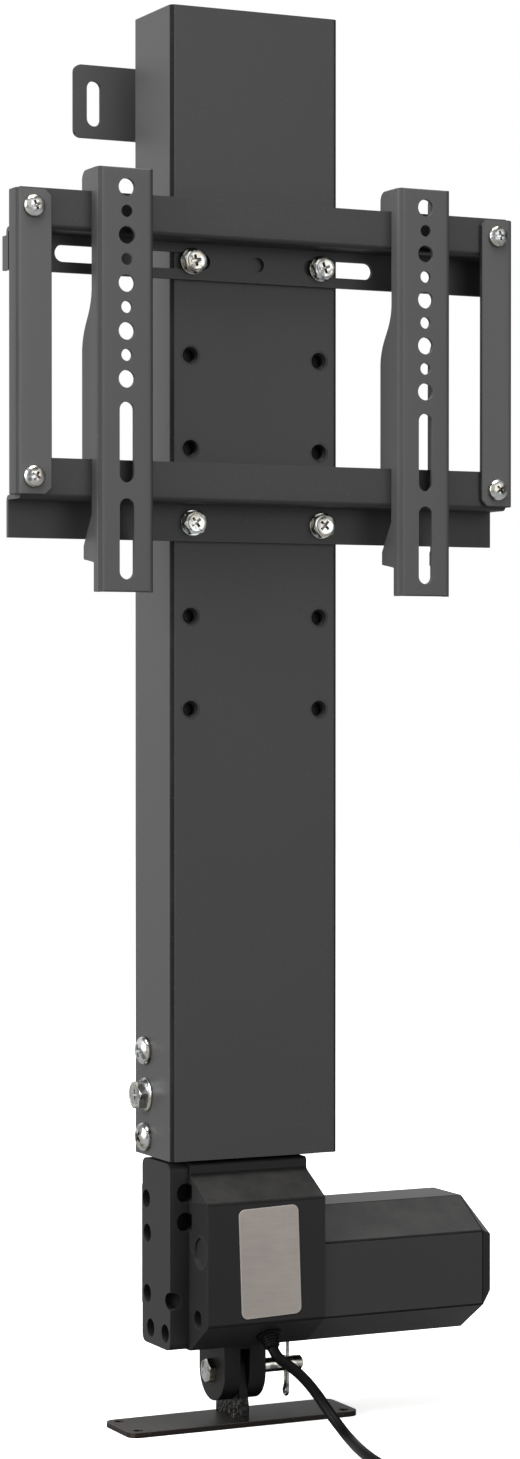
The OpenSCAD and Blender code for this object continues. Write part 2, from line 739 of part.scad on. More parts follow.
// Spring clip that holds the pin: one leg through the pin, the other sprung round it
module hairpin_clip() {
    grip = pin_d / 2 + clip_wire / 2 + 0.15;
    loop_r = 3.2;
    loop_z = 12.6;
    leg_top = gear_z - 1.5;
    loop = [for (a = [180:30:390]) [clip_x, loop_r + loop_r * cos(a), loop_z + loop_r * sin(a)]];
    hold = [for (a = [-50:22.5:40]) [clip_x, grip * cos(a), pin_z + grip * sin(a)]];
    path = concat([[clip_x, 0, leg_top], [clip_x, 0, pin_z]], loop, [[clip_x, 2.6, 20]], hold,
        [[clip_x, 5.6, pin_z + 7]]);
    color(zinc) swept_tube(path, clip_wire / 2, 8, [1, 0, 0], [0, 0, -1], [0, 0.5, 0.87]);
}

// Cable
function catmull(p, i, f) = let (m = len(p) - 1)
    let (a = p[max(i - 1, 0)], b = p[i], c = p[i + 1], d = p[min(i + 2, m)])
    0.5 * ((2 * b) + (c - a) * f + (2 * a - 5 * b + 4 * c - d) * f * f + (3 * b - a - 3 * c + d) * f * f * f);
function ring_at(c, t, across, r, sides) = let (u = unit(across - (across * t) * t), v = cross(t, u))
    [for (k = [0:sides - 1]) c + r * (u * cos(k * 360 / sides) + v * sin(k * 360 / sides))];
function way_at(p, i) = unit(p[min(i + 1, len(p) - 1)] - p[max(i - 1, 0)]);

// One closed tube swept along the points
module swept_tube(p, r, sides, across, start_way, end_way) {
    m = len(p);
    ways = [for (i = [0:m - 1]) i == 0 ? start_way : i == m - 1 ? end_way : way_at(p, i)];
    rings = [for (i = [0:m - 1]) each ring_at(p[i], ways[i], across, r, sides)];
    walls = [for (i = [0:m - 2]) for (k = [0:sides - 1]) let (a = i * sides + k, b = i * sides + (k + 1) % sides)
        each [[a, a + sides, b], [b, a + sides, b + sides]]];
    first = [for (k = [1:sides - 2]) [0, k, k + 1]];
    last = [for (k = [1:sides - 2]) [(m - 1) * sides, (m - 1) * sides + k + 1, (m - 1) * sides + k]];
    polyhedron(points = rings, faces = concat(walls, first, last));
}

gland_way = [0, -sin(low_angle), -cos(low_angle)];
gland_seat = [gland_x, gland_y, gland_z];
gland_tip = gland_seat + gland_l * gland_way;
run_points = concat([gland_tip], route, [coil_start]);
run_path = concat([run_points[0]],
    [for (i = [0:len(run_points) - 2]) for (f = [0.5, 1]) catmull(run_points, i, f)]);

// The coil spirals in on the floor, climbs where it reverses, and spirals out on top
function coil_radius(turn) = coil_out_r - coil_pitch * (turn < coil_layer_turns ? turn : coil_turns - turn);
function coil_height(turn) = let (f = min(max((turn - coil_layer_turns) / 0.5 + 0.5, 0), 1))
    coil_z[0] * (1 - f) + coil_z[1] * f;
function coil_point(turn) = [coil_centre.x + coil_radius(turn) * cos(-360 * turn),
    coil_centre.y + coil_radius(turn) * sin(-360 * turn), coil_height(turn)];
coil_loops = [for (i = [0:round(coil_turns * coil_rings)]) coil_point(i / coil_rings)];
coil_end = coil_point(coil_turns);
tail_path = [for (d = [12, 20, 28, tail_l]) [coil_end.x - d, coil_end.y,
    coil_end.z - (coil_end.z - plug_r - 0.1) * min(max((d - 14) / (tail_l - 22), 0), 1)]];
coil_path = concat(coil_loops, tail_path);
tail_end = tail_path[len(tail_path) - 1];
coil_gap = min([for (i = [0:len(coil_path) - 1]) for (j = [i + 14:1:len(coil_path) - 1])
    norm(coil_path[i] - coil_path[j])]) - cord_d;
function path_length(p) = norm([for (i = [0:len(p) - 2]) sqrt(norm(p[i + 1] - p[i]))]) ^ 2;
echo(coil_least_gap = coil_gap, run_length = path_length(run_path), coil_length = path_length(coil_path));

module cable_gland() {
    color(black) translate(gland_seat) rotate([180 - low_angle, 0, 0]) rotate_extrude()
        polygon([[0, 0], [7, 0], [7, 1.6], [5.4, 2.2], [cord_r + 0.8, gland_l], [0, gland_l]]);
}

module cable_run() {
    color(black) swept_tube(run_path, cord_r, 8, [1, 0, 0], gland_way, [0, -1, 0]);
}

module cable_coil() {
    color(black) swept_tube(coil_path, cord_r, 6, [0, 0, 1], [0, -1, 0], [-1, 0, 0]);
}

module cable_plug() {
    color(black) translate(tail_end) rotate([0, -90, 0]) rotate_extrude()
        polygon([[0, 0], [cord_r + 0.5, 0], [plug_r - 2, 9], [plug_r, 11], [plug_r, 24], [plug_r - 1, 25],
        [plug_r - 1, plug_l], [plug_r - 2, plug_l], [plug_r - 2, plug_l - 7], [0, plug_l - 7]]);
}

// Middle section
module middle_column() {
    mid = stage_wall / 2;
    side = middle_w / 2 - mid;
    lip = middle_slot_w / 2;
    path = [[lip, middle_back - mid], [side, middle_back - mid], [side, middle_front + mid],
        [-side, middle_front + mid], [-side, middle_back - mid], [-lip, middle_back - mid]];
    color(grey) translate([0, 0, middle_z]) bent_sheet(path, stage_wall, column_bend, middle_top - middle_z);
}

// Head plate of the middle section, which holds the thrust bearing of the hollow screw
module middle_head() {
    w = middle_in_w - 0.4;
    d_back = middle_back - stage_wall - 0.2;
    d_front = middle_front + stage_wall + 0.2;
    color(dark) difference() {
        translate([0, (d_back + d_front) / 2, head_z]) linear_extrude(head_t)
            polygon(rounded(box_points(w, d_back - d_front), 2.5, 3));
        translate([0, 0, head_z - through]) cylinder(d = screw_bearing_od, h = head_t + 1);
    }
}

module screw_bearing() {
    color(steel) translate([0, 0, head_z]) ball_bearing(screw_od + 2 * run_clear, screw_bearing_od - 0.04, head_t);
}

// Pads outside the top and inside the bottom of the middle section
module middle_glides() {
    top_z = middle_top - 4 - glide_h;
    low_z = middle_z + 2;
    in_w = middle_in_w;
    pad_d = middle_back - middle_front - 12;
    color(pad_white) for (s = [-1, 1]) {
        translate([s * (middle_w + glide_t) / 2 - glide_t / 2, middle_front + 6, top_z])
            cube([glide_t, pad_d, glide_h]);
        translate([s * (in_w - glide_t) / 2 - glide_t / 2, middle_front + 7, low_z])
            cube([glide_t, pad_d - 2, glide_h]);
        translate([s * (back_slot_w / 2 + 5) - 4, middle_back, top_z]) cube([8, glide_t, glide_h]);
    }
}

// Hollow screw, turned by the rod and running in the lower nut
module hollow_screw() {
    screw_top = head_z + head_t;
    color(steel) difference() {
        union() {
            translate([0, 0, screw_low]) cylinder(d = screw_od, h = screw_top - screw_low);
            translate([0, 0, head_z - collar_h]) cylinder(d = collar_d - 1, h = collar_h - 0.3);
        }
        translate([0, 0, screw_low - through]) cylinder(d = screw_id, h = screw_top - screw_low + 1);
        translate([0, 0, screw_top - upper_nut_h]) cylinder(d = screw_id + 2, h = upper_nut_h + 1);
    }
}

module upper_nut() {
    screw_top = head_z + head_t;
    color(brass) translate([0, 0, screw_top - upper_nut_h + 0.1]) difference() {
        cylinder(d = screw_id + 1.9, h = upper_nut_h - 0.1);
        translate([0, 0, -through]) cylinder(d = tube_od + 2 * run_clear, h = upper_nut_h + 1);
    }
}

module hex_bush() {
    color(brass) translate([0, 0, screw_low]) difference() {
        cylinder(d = screw_id - 0.04, h = bush_h);
        translate([0, 0, -through]) cylinder(d = (hex_af + 0.3) / cos(30), h = bush_h + 1, $fn = 6);
    }
}

// Outer section
insert_places = [for (x = [-1, 1]) for (z = concat([for (r = insert_rows) upper_row - r],
    [for (r = insert_rows) lower_row - r])) [x * insert_x, z]];
guide_screw_z = [57, 10];
guide_bolt_z = 33;
guide_y = 9;
guide_h = 64;
guide_screw_d = 4.8;
guide_head_d = 15.6;
guide_head_h = 5;
guide_bolt_d = 6.2;
guide_bolt_af = 14.5;
guide_bolt_head_h = 5.4;
guide_bolt_flange = 18.5;
guide_bolt_flange_t = 1.6;
guide_grip = column_wall + 1.8;

module outer_column() {
    mid = column_wall / 2;
    side = column_w / 2 - mid;
    back = column_d / 2 - mid;
    lip = back_slot_w / 2;
    path = [[lip, back], [side, back], [side, -back], [-side, -back], [-side, back], [-lip, back]];
    color(grey) difference() {
        translate([0, 0, column_z]) bent_sheet(path, column_wall, column_bend, column_h);
        for (p = insert_places) translate([p.x, 0, p.y]) cross_y(-back, insert_od, 8);
        for (s = [-1, 1]) {
            for (z = guide_screw_z) translate([0, guide_y, column_z + z]) cross_x(s * side, guide_screw_d + 1.4, 8);
            translate([0, guide_y, column_z + guide_bolt_z]) cross_x(s * side, guide_bolt_d + 2, 8);
        }
    }
}

module top_cap() {
    w = outer_in_w - 0.4;
    d = 2 * outer_back - 0.4;
    hub_h = 10;
    hub_d = 24;
    color(dark) difference() {
        union() {
            translate([0, 0, column_top - cap_t]) linear_extrude(cap_t) polygon(rounded(box_points(w, d), 2, 3));
            translate([0, 0, column_top - cap_t - hub_h + 1]) cylinder(d = hub_d, h = hub_h);
        }
        translate([0, 0, column_top - cap_t - hub_h]) cylinder(d = tube_od + 0.1, h = hub_h + cap_t - 1);
    }
}

// Tube that hangs from the top cap into the hollow screw
module lift_tube() {
    color(steel) translate([0, 0, tube_low]) difference() {
        cylinder(d = tube_od, h = column_top - 1.2 - tube_low);
        translate([0, 0, -through]) cylinder(d = tube_id, h = column_top - tube_low + 1);
    }
}

// Sliding guides inside the bottom of the outer section
module outer_guides() {
    color(pad_white) for (s = [-1, 1]) difference() {
        translate([s * (outer_in_w - glide_t) / 2 - glide_t / 2, middle_front + 3, column_z + 2])
            cube([glide_t, middle_back - middle_front - 6, guide_h]);
        for (z = guide_screw_z) translate([0, guide_y, column_z + z])
            cross_x(s * outer_in_w / 2, guide_screw_d + 0.2, 8);
        translate([0, guide_y, column_z + guide_bolt_z]) cross_x(s * outer_in_w / 2, guide_bolt_d + 0.2, 8);
    }
}

module guide_screws() {
    color(zinc) for (s = [-1, 1]) for (z = guide_screw_z)
        translate([s * column_w / 2, guide_y, column_z + z]) rotate([0, s * 90, 0])
        pan_screw(guide_head_d, guide_head_h, guide_screw_d, guide_grip);
}

module guide_bolts() {
    color(zinc) for (s = [-1, 1]) translate([s * column_w / 2, guide_y, column_z + guide_bolt_z])
        rotate([0, s * 90, 0]) flange_bolt(guide_bolt_af, guide_bolt_head_h, guide_bolt_flange,
        guide_bolt_flange_t, guide_bolt_d, guide_grip);
}

// Threaded inserts in the front of the outer section
module thread_inserts() {
    color(black) for (p = insert_places) translate([p.x, face_y, p.y]) rotate([-90, 0, 0]) difference() {
        union() {
            cylinder(d = insert_od - 0.04, h = insert_l);
            translate([0, 0, column_wall]) cylinder(d = insert_flange, h = insert_l - column_wall);
        }
        translate([0, 0, -through]) cylinder(d = m8_core, h = insert_l + 1);
    }
}

// Television frame
function rail_path(row) = let (t = sheet_t / 2)
    [[face_y - t, row - flange_h / 2], [face_y - t, row + web_rise + t], [rail_front + t, row + web_rise + t],
    [rail_front + t, row + flange_rise]];
rail_bend = 1.6;

module rail(row) {
    along_x(-rail_l / 2, rail_l) polygon(sheet_outline(rail_path(row), sheet_t, rail_bend));
}

module rail_bar_holes(row) {
    for (s = [-1, 1]) translate([s * bar_screw_x, 0, row + bar_screw_rise])
        cross_y(rail_front, bar_screw_d + 0.1, 12);
}

bar_screw_x = bar_out - bar_w / 2;
bar_screw_rise = flange_rise - flange_h / 2;
bar_end = 9.3;
rail_slots = [[49, 42], [rail_l / 2 - 41.3, 30]];
tab_d = 8;

module upper_rail() {
    color(grey) {
        difference() {
            rail(upper_row);
            for (s = [-1, 1]) for (q = rail_slots) translate([s * q[0], face_y + 1, upper_row])
                rotate([90, 0, 0]) linear_extrude(6) slot_shape(q[1], rail_hole);
            translate([0, 0, upper_row]) cross_y(face_y, 8, 12);
            rail_bar_holes(upper_row);
        }
        for (s = [-1, 1]) translate([s * (rail_l / 2 - 1) - 1, face_y - sheet_t, upper_row - flange_h / 2])
            cube([2, tab_d, flange_h - 2]);
    }
}

module lower_rail() {
    color(grey) difference() {
        rail(lower_row);
        for (s = [-1, 1]) translate([s * insert_x, 0, lower_row]) cross_y(face_y, rail_hole, 12);
        rail_bar_holes(lower_row);
    }
}

module rail_bolts() {
    color(zinc) for (x = [-1, 1]) for (z = [upper_row, lower_row])
        translate([x * insert_x, face_y - sheet_t, z]) rotate([90, 0, 0])
        flange_bolt(m8_head, m8_head_h, m8_flange, m8_flange_t, m8_core - 0.1, insert_l + sheet_t - 0.5);
}

// Side bar that closes the ends of both rails
module side_bar() {
    t = sheet_t / 2;
    path = [[bar_out - bar_w, bar_front + t], [bar_out - t, bar_front + t], [bar_out - t, rail_front + 8]];
    low = lower_row + bar_screw_rise - bar_end;
    high = upper_row + bar_screw_rise + bar_end;
    corner = 5;
    cut_l = 2 * (rail_d + column_d);
    difference() {
        translate([0, 0, low]) bent_sheet(path, sheet_t, 2, high - low);
        for (z = [low, high]) translate([bar_out - bar_w, 0, z]) rotate([0, 45, 0])
            cube([corner, cut_l, corner], center = true);
        for (z = [upper_row, lower_row]) translate([bar_screw_x, 0, z + bar_screw_rise])
            cross_y(bar_front, bar_screw_d + 1.2, 12);
    }
}

module right_bar() {
    color(grey) side_bar();
}

module left_bar() {
    color(grey) mirror([1, 0, 0]) side_bar();
}

module bar_screws() {
    color(zinc) for (x = [-1, 1]) for (z = [upper_row, lower_row])
        translate([x * bar_screw_x, bar_front, z + bar_screw_rise]) rotate([90, 0, 0])
        pan_screw(bar_head_d, bar_head_h, bar_screw_d, bar_screw_l);
}

// Arms, as channels whose side flanges hook over the rails
function flange_profile() = let (top_seat = upper_row + flange_rise + seat)
    let (mid_seat = lower_row + flange_rise + seat, low = lower_row - flange_h / 2)
    [[0, arm_low], [7, arm_low], [7, low - 13], [arm_d - 2, low - 11], [arm_d - 2, low - 4], [arm_reach, low + 12],
    [arm_reach, mid_seat], [arm_d, mid_seat], [arm_d, mid_seat + 64], [arm_reach, mid_seat + 82],
    [arm_reach, top_seat], [arm_d, top_seat], [arm_d, arm_top], [0, arm_top]];

arm_hole_top = arm_top - 10.2;
arm_slot_gap = 8.2;

module arm() {
    t = sheet_t / 2;
    side = arm_w / 2 - t;
    back = arm_front + arm_d;
    path = [[-side, back], [-side, arm_front + t], [side, arm_front + t], [side, back]];
    slot_1 = arm_hole_top - 8 * arm_hole_step - 11.9 - arm_slot_l / 2;
    slot_2 = slot_1 - arm_slot_l - arm_slot_gap;
    difference() {
        intersection() {
            translate([0, 0, arm_low]) bent_sheet(path, sheet_t, 2.5, arm_l);
            along_x(-arm_w, 2 * arm_w) translate([arm_front, 0]) polygon(rounded(flange_profile(), 0.8, 3));
        }
        for (i = [0:8]) translate([0, 0, arm_hole_top - i * arm_hole_step])
            cross_y(arm_front, i % 2 == 0 ? arm_hole_large : arm_hole_small, 12);
        for (z = [slot_1, slot_2]) translate([0, arm_front + 5, z]) rotate([90, 90, 0]) linear_extrude(10)
            slot_shape(arm_slot_l, arm_slot_w);
    }
}

module left_arm() {
    color(grey) translate([-arm_x, 0, 0]) arm();
}

module right_arm() {
    color(grey) translate([arm_x, 0, 0]) arm();
}

gearbox_case();
side_block();
gearbox_cover();
cover_screws();
case_plug();
motor_housing();
motor_end_cap();
motor_screws();
rod_bearings();
shaft_bearing();
column_socket();
socket_screws();
inner_column();
inner_glides();
lower_nut();
rear_bracket();
bracket_screws();
hinge_fork();
hinge_pin();
hairpin_clip();
cable_gland();
cable_run();
cable_coil();
cable_plug();
foot_plate();
foot_tongue();
bevel_pinion();
drive_rod();
bevel_gear();
middle_column();
middle_head();
middle_glides();
screw_bearing();
hollow_screw();
upper_nut();
hex_bush();
outer_column();
top_cap();
lift_tube();
outer_guides();
guide_screws();
guide_bolts();
thread_inserts();
upper_rail();
lower_rail();
rail_bolts();
left_bar();
right_bar();
bar_screws();
left_arm();
right_arm();
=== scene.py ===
import json
import math

import bmesh
import bpy
from mathutils import Matrix, Vector

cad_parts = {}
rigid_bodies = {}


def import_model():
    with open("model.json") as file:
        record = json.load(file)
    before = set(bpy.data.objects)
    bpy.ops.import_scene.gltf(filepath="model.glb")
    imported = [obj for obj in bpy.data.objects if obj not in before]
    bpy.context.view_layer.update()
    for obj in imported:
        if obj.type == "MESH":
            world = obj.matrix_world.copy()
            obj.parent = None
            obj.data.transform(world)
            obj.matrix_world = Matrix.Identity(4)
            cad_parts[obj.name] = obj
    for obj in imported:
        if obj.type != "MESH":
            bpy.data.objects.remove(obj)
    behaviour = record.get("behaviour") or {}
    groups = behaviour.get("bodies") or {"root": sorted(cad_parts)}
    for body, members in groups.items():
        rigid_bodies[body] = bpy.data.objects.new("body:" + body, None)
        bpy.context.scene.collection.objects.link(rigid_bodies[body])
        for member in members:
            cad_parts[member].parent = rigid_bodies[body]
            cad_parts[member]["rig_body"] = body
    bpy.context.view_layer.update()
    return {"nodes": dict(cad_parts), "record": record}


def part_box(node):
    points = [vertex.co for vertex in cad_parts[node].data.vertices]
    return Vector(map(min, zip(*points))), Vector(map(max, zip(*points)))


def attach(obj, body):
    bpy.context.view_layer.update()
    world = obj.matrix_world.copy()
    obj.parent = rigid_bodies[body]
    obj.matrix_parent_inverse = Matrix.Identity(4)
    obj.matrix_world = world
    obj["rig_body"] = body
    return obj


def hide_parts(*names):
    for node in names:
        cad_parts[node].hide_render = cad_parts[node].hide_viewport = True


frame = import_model()
nodes = frame["nodes"]
scene = bpy.context.scene
mm = 0.001
print("frame loaded:", len(nodes), "nodes")

# Camera, fitted to the verticals and the column's corners in the photograph
cameraView = {"place": (-0.793, -1.686, 0.3986), "azimuth": -25.6, "pitch": -0.58, "lens": 83.82, "sensor": 36}

cameraData = bpy.data.cameras.new("camera")
cameraData.lens = cameraView["lens"]
cameraData.sensor_width = cameraView["sensor"]
cameraData.clip_start = 0.05
cameraData.clip_end = 50
camera = bpy.data.objects.new("camera", cameraData)
camera.location = cameraView["place"]
camera.rotation_euler = (math.radians(90 + cameraView["pitch"]), 0, math.radians(cameraView["azimuth"]))
scene.collection.objects.link(camera)
scene.camera = camera

# Cable: its route is the one in the part's source, in millimetres
cableRoute = {
    "diameter": 6, "length": 1.486, "smooth": 4, "ringsPerTurn": 36,
    "points": [(6.9, -39.5, 40.9), (11.4, -42.8, 36.9), (15.8, -46, 32.8), (20, -49.6, 27.6), (23.6, -54, 21.4),
               (26.4, -59.4, 14.9), (28.4, -66.6, 9), (28.6, -76, 5.1), (27.1, -86, 3.5), (24.1, -98, 3.1),
               (20.3, -114, 3.1), (16.9, -132, 3.1), (14.8, -152, 3.1), (14, -172, 3.1), (14, -190, 3.1)],
    "coilStart": (14, -206, 3.1), "coilRadius": 42.3125, "coilPitch": 6.6, "coilTurns": 6.25, "tail": 36,
    "plugRadius": 7,
}
glandSeat = {"x": 5, "y": -31.5, "slopeRun": 23, "slopeRise": 16, "flat": 21, "floor": 45, "length": 8}


def glandFrame():
    angle = math.atan2(glandSeat["slopeRise"], glandSeat["slopeRun"])
    way = Vector((0, -math.sin(angle), -math.cos(angle)))
    z = glandSeat["floor"] + (abs(glandSeat["y"]) - glandSeat["flat"]) * math.tan(angle)
    return Vector((glandSeat["x"], glandSeat["y"], z)), way


def catmullRom(points, steps):
    last = len(points) - 1
    line = [points[0]]
    for i in range(last):
        a, b, c, d = points[max(i - 1, 0)], points[i], points[i + 1], points[min(i + 2, last)]
        for k in range(1, steps + 1):
            f = k / steps
            line.append(0.5 * (2 * b + (c - a) * f + (2 * a - 5 * b + 4 * c - d) * f * f
                               + (3 * b - a - 3 * c + d) * f * f * f))
    return line


def coilLine():
    start = Vector(cableRoute["coilStart"])
    outer, pitch, turns = cableRoute["coilRadius"], cableRoute["coilPitch"], cableRoute["coilTurns"]
    half = turns / 2
    line = []
    for i in range(1, round(turns * cableRoute["ringsPerTurn"]) + 1):
        turn = i / cableRoute["ringsPerTurn"]
        radius = outer - pitch * (turn if turn < half else turns - turn)
        climb = min(max((turn - half) / 0.5 + 0.5, 0), 1)
        angle = -2 * math.pi * turn
        line.append(Vector((start.x - outer + radius * math.cos(angle), start.y + radius * math.sin(angle),
                            start.z + pitch * climb)))
    end = line[-1].copy()
    drop = end.z - cableRoute["plugRadius"] - 0.1
    for i in range(1, 13):
        d = cableRoute["tail"] * i / 12
        line.append(end + Vector((-d, 0, -drop * min(max((d - 14) / (cableRoute["tail"] - 22), 0), 1))))
    return line


def roundWire(name, line, radius):
    data = bpy.data.curves.new(name, "CURVE")
    data.dimensions = "3D"
    data.bevel_depth = 1      # times each point's radius, which keeps the curve's own box tight
    data.bevel_resolution = 3
    data.use_fill_caps = True
    path = data.splines.new("POLY")
    path.points.add(len(line) - 1)
    for point, place in zip(path.points, line):
        point.co = (*(place * mm), 1)
        point.radius = radius * mm
    path.use_smooth = True
    wire = bpy.data.objects.new(name, data)
    scene.collection.objects.link(wire)
    return wire


seat, seatWay = glandFrame()
glandTip = seat + glandSeat["length"] * seatWay
runPoints = [glandTip] + [Vector(p) for p in cableRoute["points"]] + [Vector(cableRoute["coilStart"])]
cablePath = catmullRom(runPoints, cableRoute["smooth"]) + coilLine()
cable = roundWire("cable", cablePath, cableRoute["diameter"] / 2)
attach(cable, "base")
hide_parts("cable_run", "cable_coil")
print("cable laid:", len(cablePath), "points")

# Shared effects, as node groups


def newGroup(name, **inputs):      # each takes a place as Vector, then its own inputs
    group = bpy.data.node_groups.new(name, "ShaderNodeTree")
    group.interface.new_socket("Vector", in_out="INPUT", socket_type="NodeSocketVector")
    for label, value in inputs.items():
        kind = "NodeSocketVector" if isinstance(value, tuple) else "NodeSocketFloat"
        group.interface.new_socket(label, in_out="INPUT", socket_type=kind).default_value = value
    return group, group.nodes.new("NodeGroupInput").outputs


def closeGroup(group, **outputs):
    for label in outputs:
        group.interface.new_socket(label, in_out="OUTPUT", socket_type="NodeSocketFloat")
    sink = group.nodes.new("NodeGroupOutput")
    for label, value in outputs.items():
        group.links.new(value, sink.inputs[label])
    return group


def feed(tree, socket, value):
    if isinstance(value, (int, float, tuple)):
        socket.default_value = value
    else:
        tree.links.new(value, socket)


def mathNode(tree, operation, a, b=0.0, clamp=False):
    node = tree.nodes.new("ShaderNodeMath")
    node.operation = operation
    node.use_clamp = clamp
    for socket, value in zip(node.inputs, (a, b)):
        feed(tree, socket, value)
    return node.outputs[0]


def times(tree, a, b):
    return mathNode(tree, "MULTIPLY", a, b)


def noiseNode(tree, vector, scale, detail, rough):
    node = tree.nodes.new("ShaderNodeTexNoise")
    for label, value in (("Vector", vector), ("Scale", scale), ("Detail", detail), ("Roughness", rough)):
        feed(tree, node.inputs[label], value)
    return node.outputs["Fac"]


def rangeNode(tree, value, low, high, toLow=0.0, toHigh=1.0):
    node = tree.nodes.new("ShaderNodeMapRange")
    node.interpolation_type = "SMOOTHSTEP"
    ends = {"Value": value, "From Min": low, "From Max": high, "To Min": toLow, "To Max": toHigh}
    for label, number in ends.items():
        feed(tree, node.inputs[label], number)
    return node.outputs["Result"]


def makeEdgeWear():
    group, source = newGroup("edgeWear", Width=0.0008, Scale=160.0, Amount=0.6)
    bevel = group.nodes.new("ShaderNodeBevel")
    bevel.samples = 6
    group.links.new(source["Width"], bevel.inputs["Radius"])
    shape = group.nodes.new("ShaderNodeNewGeometry")
    dot = group.nodes.new("ShaderNodeVectorMath")
    dot.operation = "DOT_PRODUCT"
    group.links.new(bevel.outputs["Normal"], dot.inputs[0])
    group.links.new(shape.outputs["Normal"], dot.inputs[1])
    bend = mathNode(group, "SUBTRACT", 1.0, dot.outputs["Value"], clamp=True)
    edge = rangeNode(group, bend, 0.004, 0.12)
    chips = noiseNode(group, source["Vector"], source["Scale"], 6, 0.65)
    broken = rangeNode(group, mathNode(group, "ADD", edge, chips), 1.12, 1.45)
    return closeGroup(group, Mask=times(group, broken, source["Amount"]), Edge=edge)


def makePowderCoat():
    group, source = newGroup("powderCoat", Scale=900.0, Peel=260.0, Cloud=7.0)
    grain = noiseNode(group, source["Vector"], source["Scale"], 2, 0.5)
    peel = noiseNode(group, source["Vector"], source["Peel"], 1, 0.5)
    cloud = noiseNode(group, source["Vector"], source["Cloud"], 5, 0.6)
    height = mathNode(group, "ADD", times(group, grain, 0.45), times(group, peel, 0.55))
    return closeGroup(group, Height=height, Tone=rangeNode(group, cloud, 0.3, 0.7),
                      Speck=rangeNode(group, grain, 0.62, 0.8))


def makeCastGrain():
    group, source = newGroup("castGrain", Scale=700.0)
    cells = group.nodes.new("ShaderNodeTexVoronoi")
    cells.feature = "SMOOTH_F1"
    group.links.new(source["Vector"], cells.inputs["Vector"])
    group.links.new(source["Scale"], cells.inputs["Scale"])
    fine = noiseNode(group, source["Vector"], times(group, source["Scale"], 1.7), 3, 0.6)
    flow = noiseNode(group, source["Vector"], 14.0, 4, 0.55)
    height = mathNode(group, "ADD", times(group, cells.outputs["Distance"], 0.7), times(group, fine, 0.3))
    return closeGroup(group, Height=height, Tone=rangeNode(group, flow, 0.3, 0.72),
                      Speck=rangeNode(group, fine, 0.34, 0.2))


def makeSettledDust():
    group, source = newGroup("settledDust", Amount=0.3)
    shape = group.nodes.new("ShaderNodeNewGeometry")
    parts = group.nodes.new("ShaderNodeSeparateXYZ")
    group.links.new(shape.outputs["Normal"], parts.inputs["Vector"])
    up = rangeNode(group, parts.outputs["Z"], 0.35, 0.95)
    fluff = noiseNode(group, source["Vector"], 55.0, 6, 0.7)
    mask = times(group, up, rangeNode(group, fluff, 0.3, 0.75))
    return closeGroup(group, Mask=times(group, mask, source["Amount"]))


def makeMetalGrain():
    group, source = newGroup("metalGrain", Scale=300.0, Stretch=(1.0, 1.0, 1.0))
    stretched = group.nodes.new("ShaderNodeVectorMath")
    stretched.operation = "MULTIPLY"
    group.links.new(source["Vector"], stretched.inputs[0])
    group.links.new(source["Stretch"], stretched.inputs[1])
    streak = noiseNode(group, stretched.outputs["Vector"], source["Scale"], 4, 0.6)
    stain = noiseNode(group, source["Vector"], 120.0, 3, 0.5)
    return closeGroup(group, Streak=rangeNode(group, streak, 0.3, 0.7), Stain=rangeNode(group, stain, 0.35, 0.65),
                      Height=streak)


def makeFoldShade():      # painted shade along folds and softened edges (a painted highlight where the line colour is light), by the normal and by a value stored on the rounded faces; also masks of upright and sideways faces, which some paints darken as painted shade
    group, source = newGroup("foldShade", From=0.84, Full=0.98)
    shape = group.nodes.new("ShaderNodeNewGeometry")
    turned = group.nodes.new("ShaderNodeVectorTransform")
    turned.vector_type = "NORMAL"
    turned.convert_from = "WORLD"
    turned.convert_to = "OBJECT"
    group.links.new(shape.outputs["Normal"], turned.inputs["Vector"])
    parts = group.nodes.new("ShaderNodeSeparateXYZ")
    group.links.new(turned.outputs["Vector"], parts.inputs["Vector"])
    x, y, z = [mathNode(group, "ABSOLUTE", parts.outputs[axis]) for axis in "XYZ"]
    across = times(group, times(group, x, y), 2.0)
    seam = group.nodes.new("ShaderNodeAttribute")
    seam.attribute_name = "seam"
    foldShadeAndHighlight = mathNode(group, "MAXIMUM", rangeNode(group, across, source["From"], source["Full"]), seam.outputs["Fac"])
    patchy = rangeNode(group, noiseNode(group, source["Vector"], 24.0, 2, 0.5), 0.1, 0.6, 0.85, 1.0)
    return closeGroup(group, Mask=times(group, foldShadeAndHighlight, patchy), Side=rangeNode(group, z, 0.75, 0.35),
                      Flank=rangeNode(group, x, 0.6, 0.9))


edgeWear = makeEdgeWear()
foldShade = makeFoldShade()
powderCoat = makePowderCoat()
castGrain = makeCastGrain()
settledDust = makeSettledDust()
metalGrain = makeMetalGrain()
print("node groups made")


def linear(code):
    values = [int(code[i:i + 2], 16) / 255 for i in (0, 2, 4)]
    return tuple(v / 12.92 if v <= 0.04045 else ((v + 0.055) / 1.055) ** 2.4 for v in values) + (1.0,)


def startMaterial(name):
    material = bpy.data.materials.new(name)
    material.use_nodes = True
    tree = material.node_tree
    tree.nodes.clear()
    output = tree.nodes.new("ShaderNodeOutputMaterial")
    shader = tree.nodes.new("ShaderNodeBsdfPrincipled")
    tree.links.new(shader.outputs["BSDF"], output.inputs["Surface"])
    place = tree.nodes.new("ShaderNodeTexCoord").outputs["Object"]
    return material, tree, shader, place


def useGroup(tree, group, place, **values):
    node = tree.nodes.new("ShaderNodeGroup")
    node.node_tree = group
    tree.links.new(place, node.inputs["Vector"])
    for label, value in values.items():
        node.inputs[label].default_value = value
    return node.outputs


def mixColour(tree, mask, a, b):      # a and b are colour codes or sockets
    node = tree.nodes.new("ShaderNodeMix")
    node.data_type = "RGBA"
    tree.links.new(mask, node.inputs["Factor"])
    for label, value in (("A", a), ("B", b)):
        socket = [s for s in node.inputs if s.name == label and s.type == "RGBA"][0]
        feed(tree, socket, linear(value) if isinstance(value, str) else value)
    return [s for s in node.outputs if s.type == "RGBA"][0]


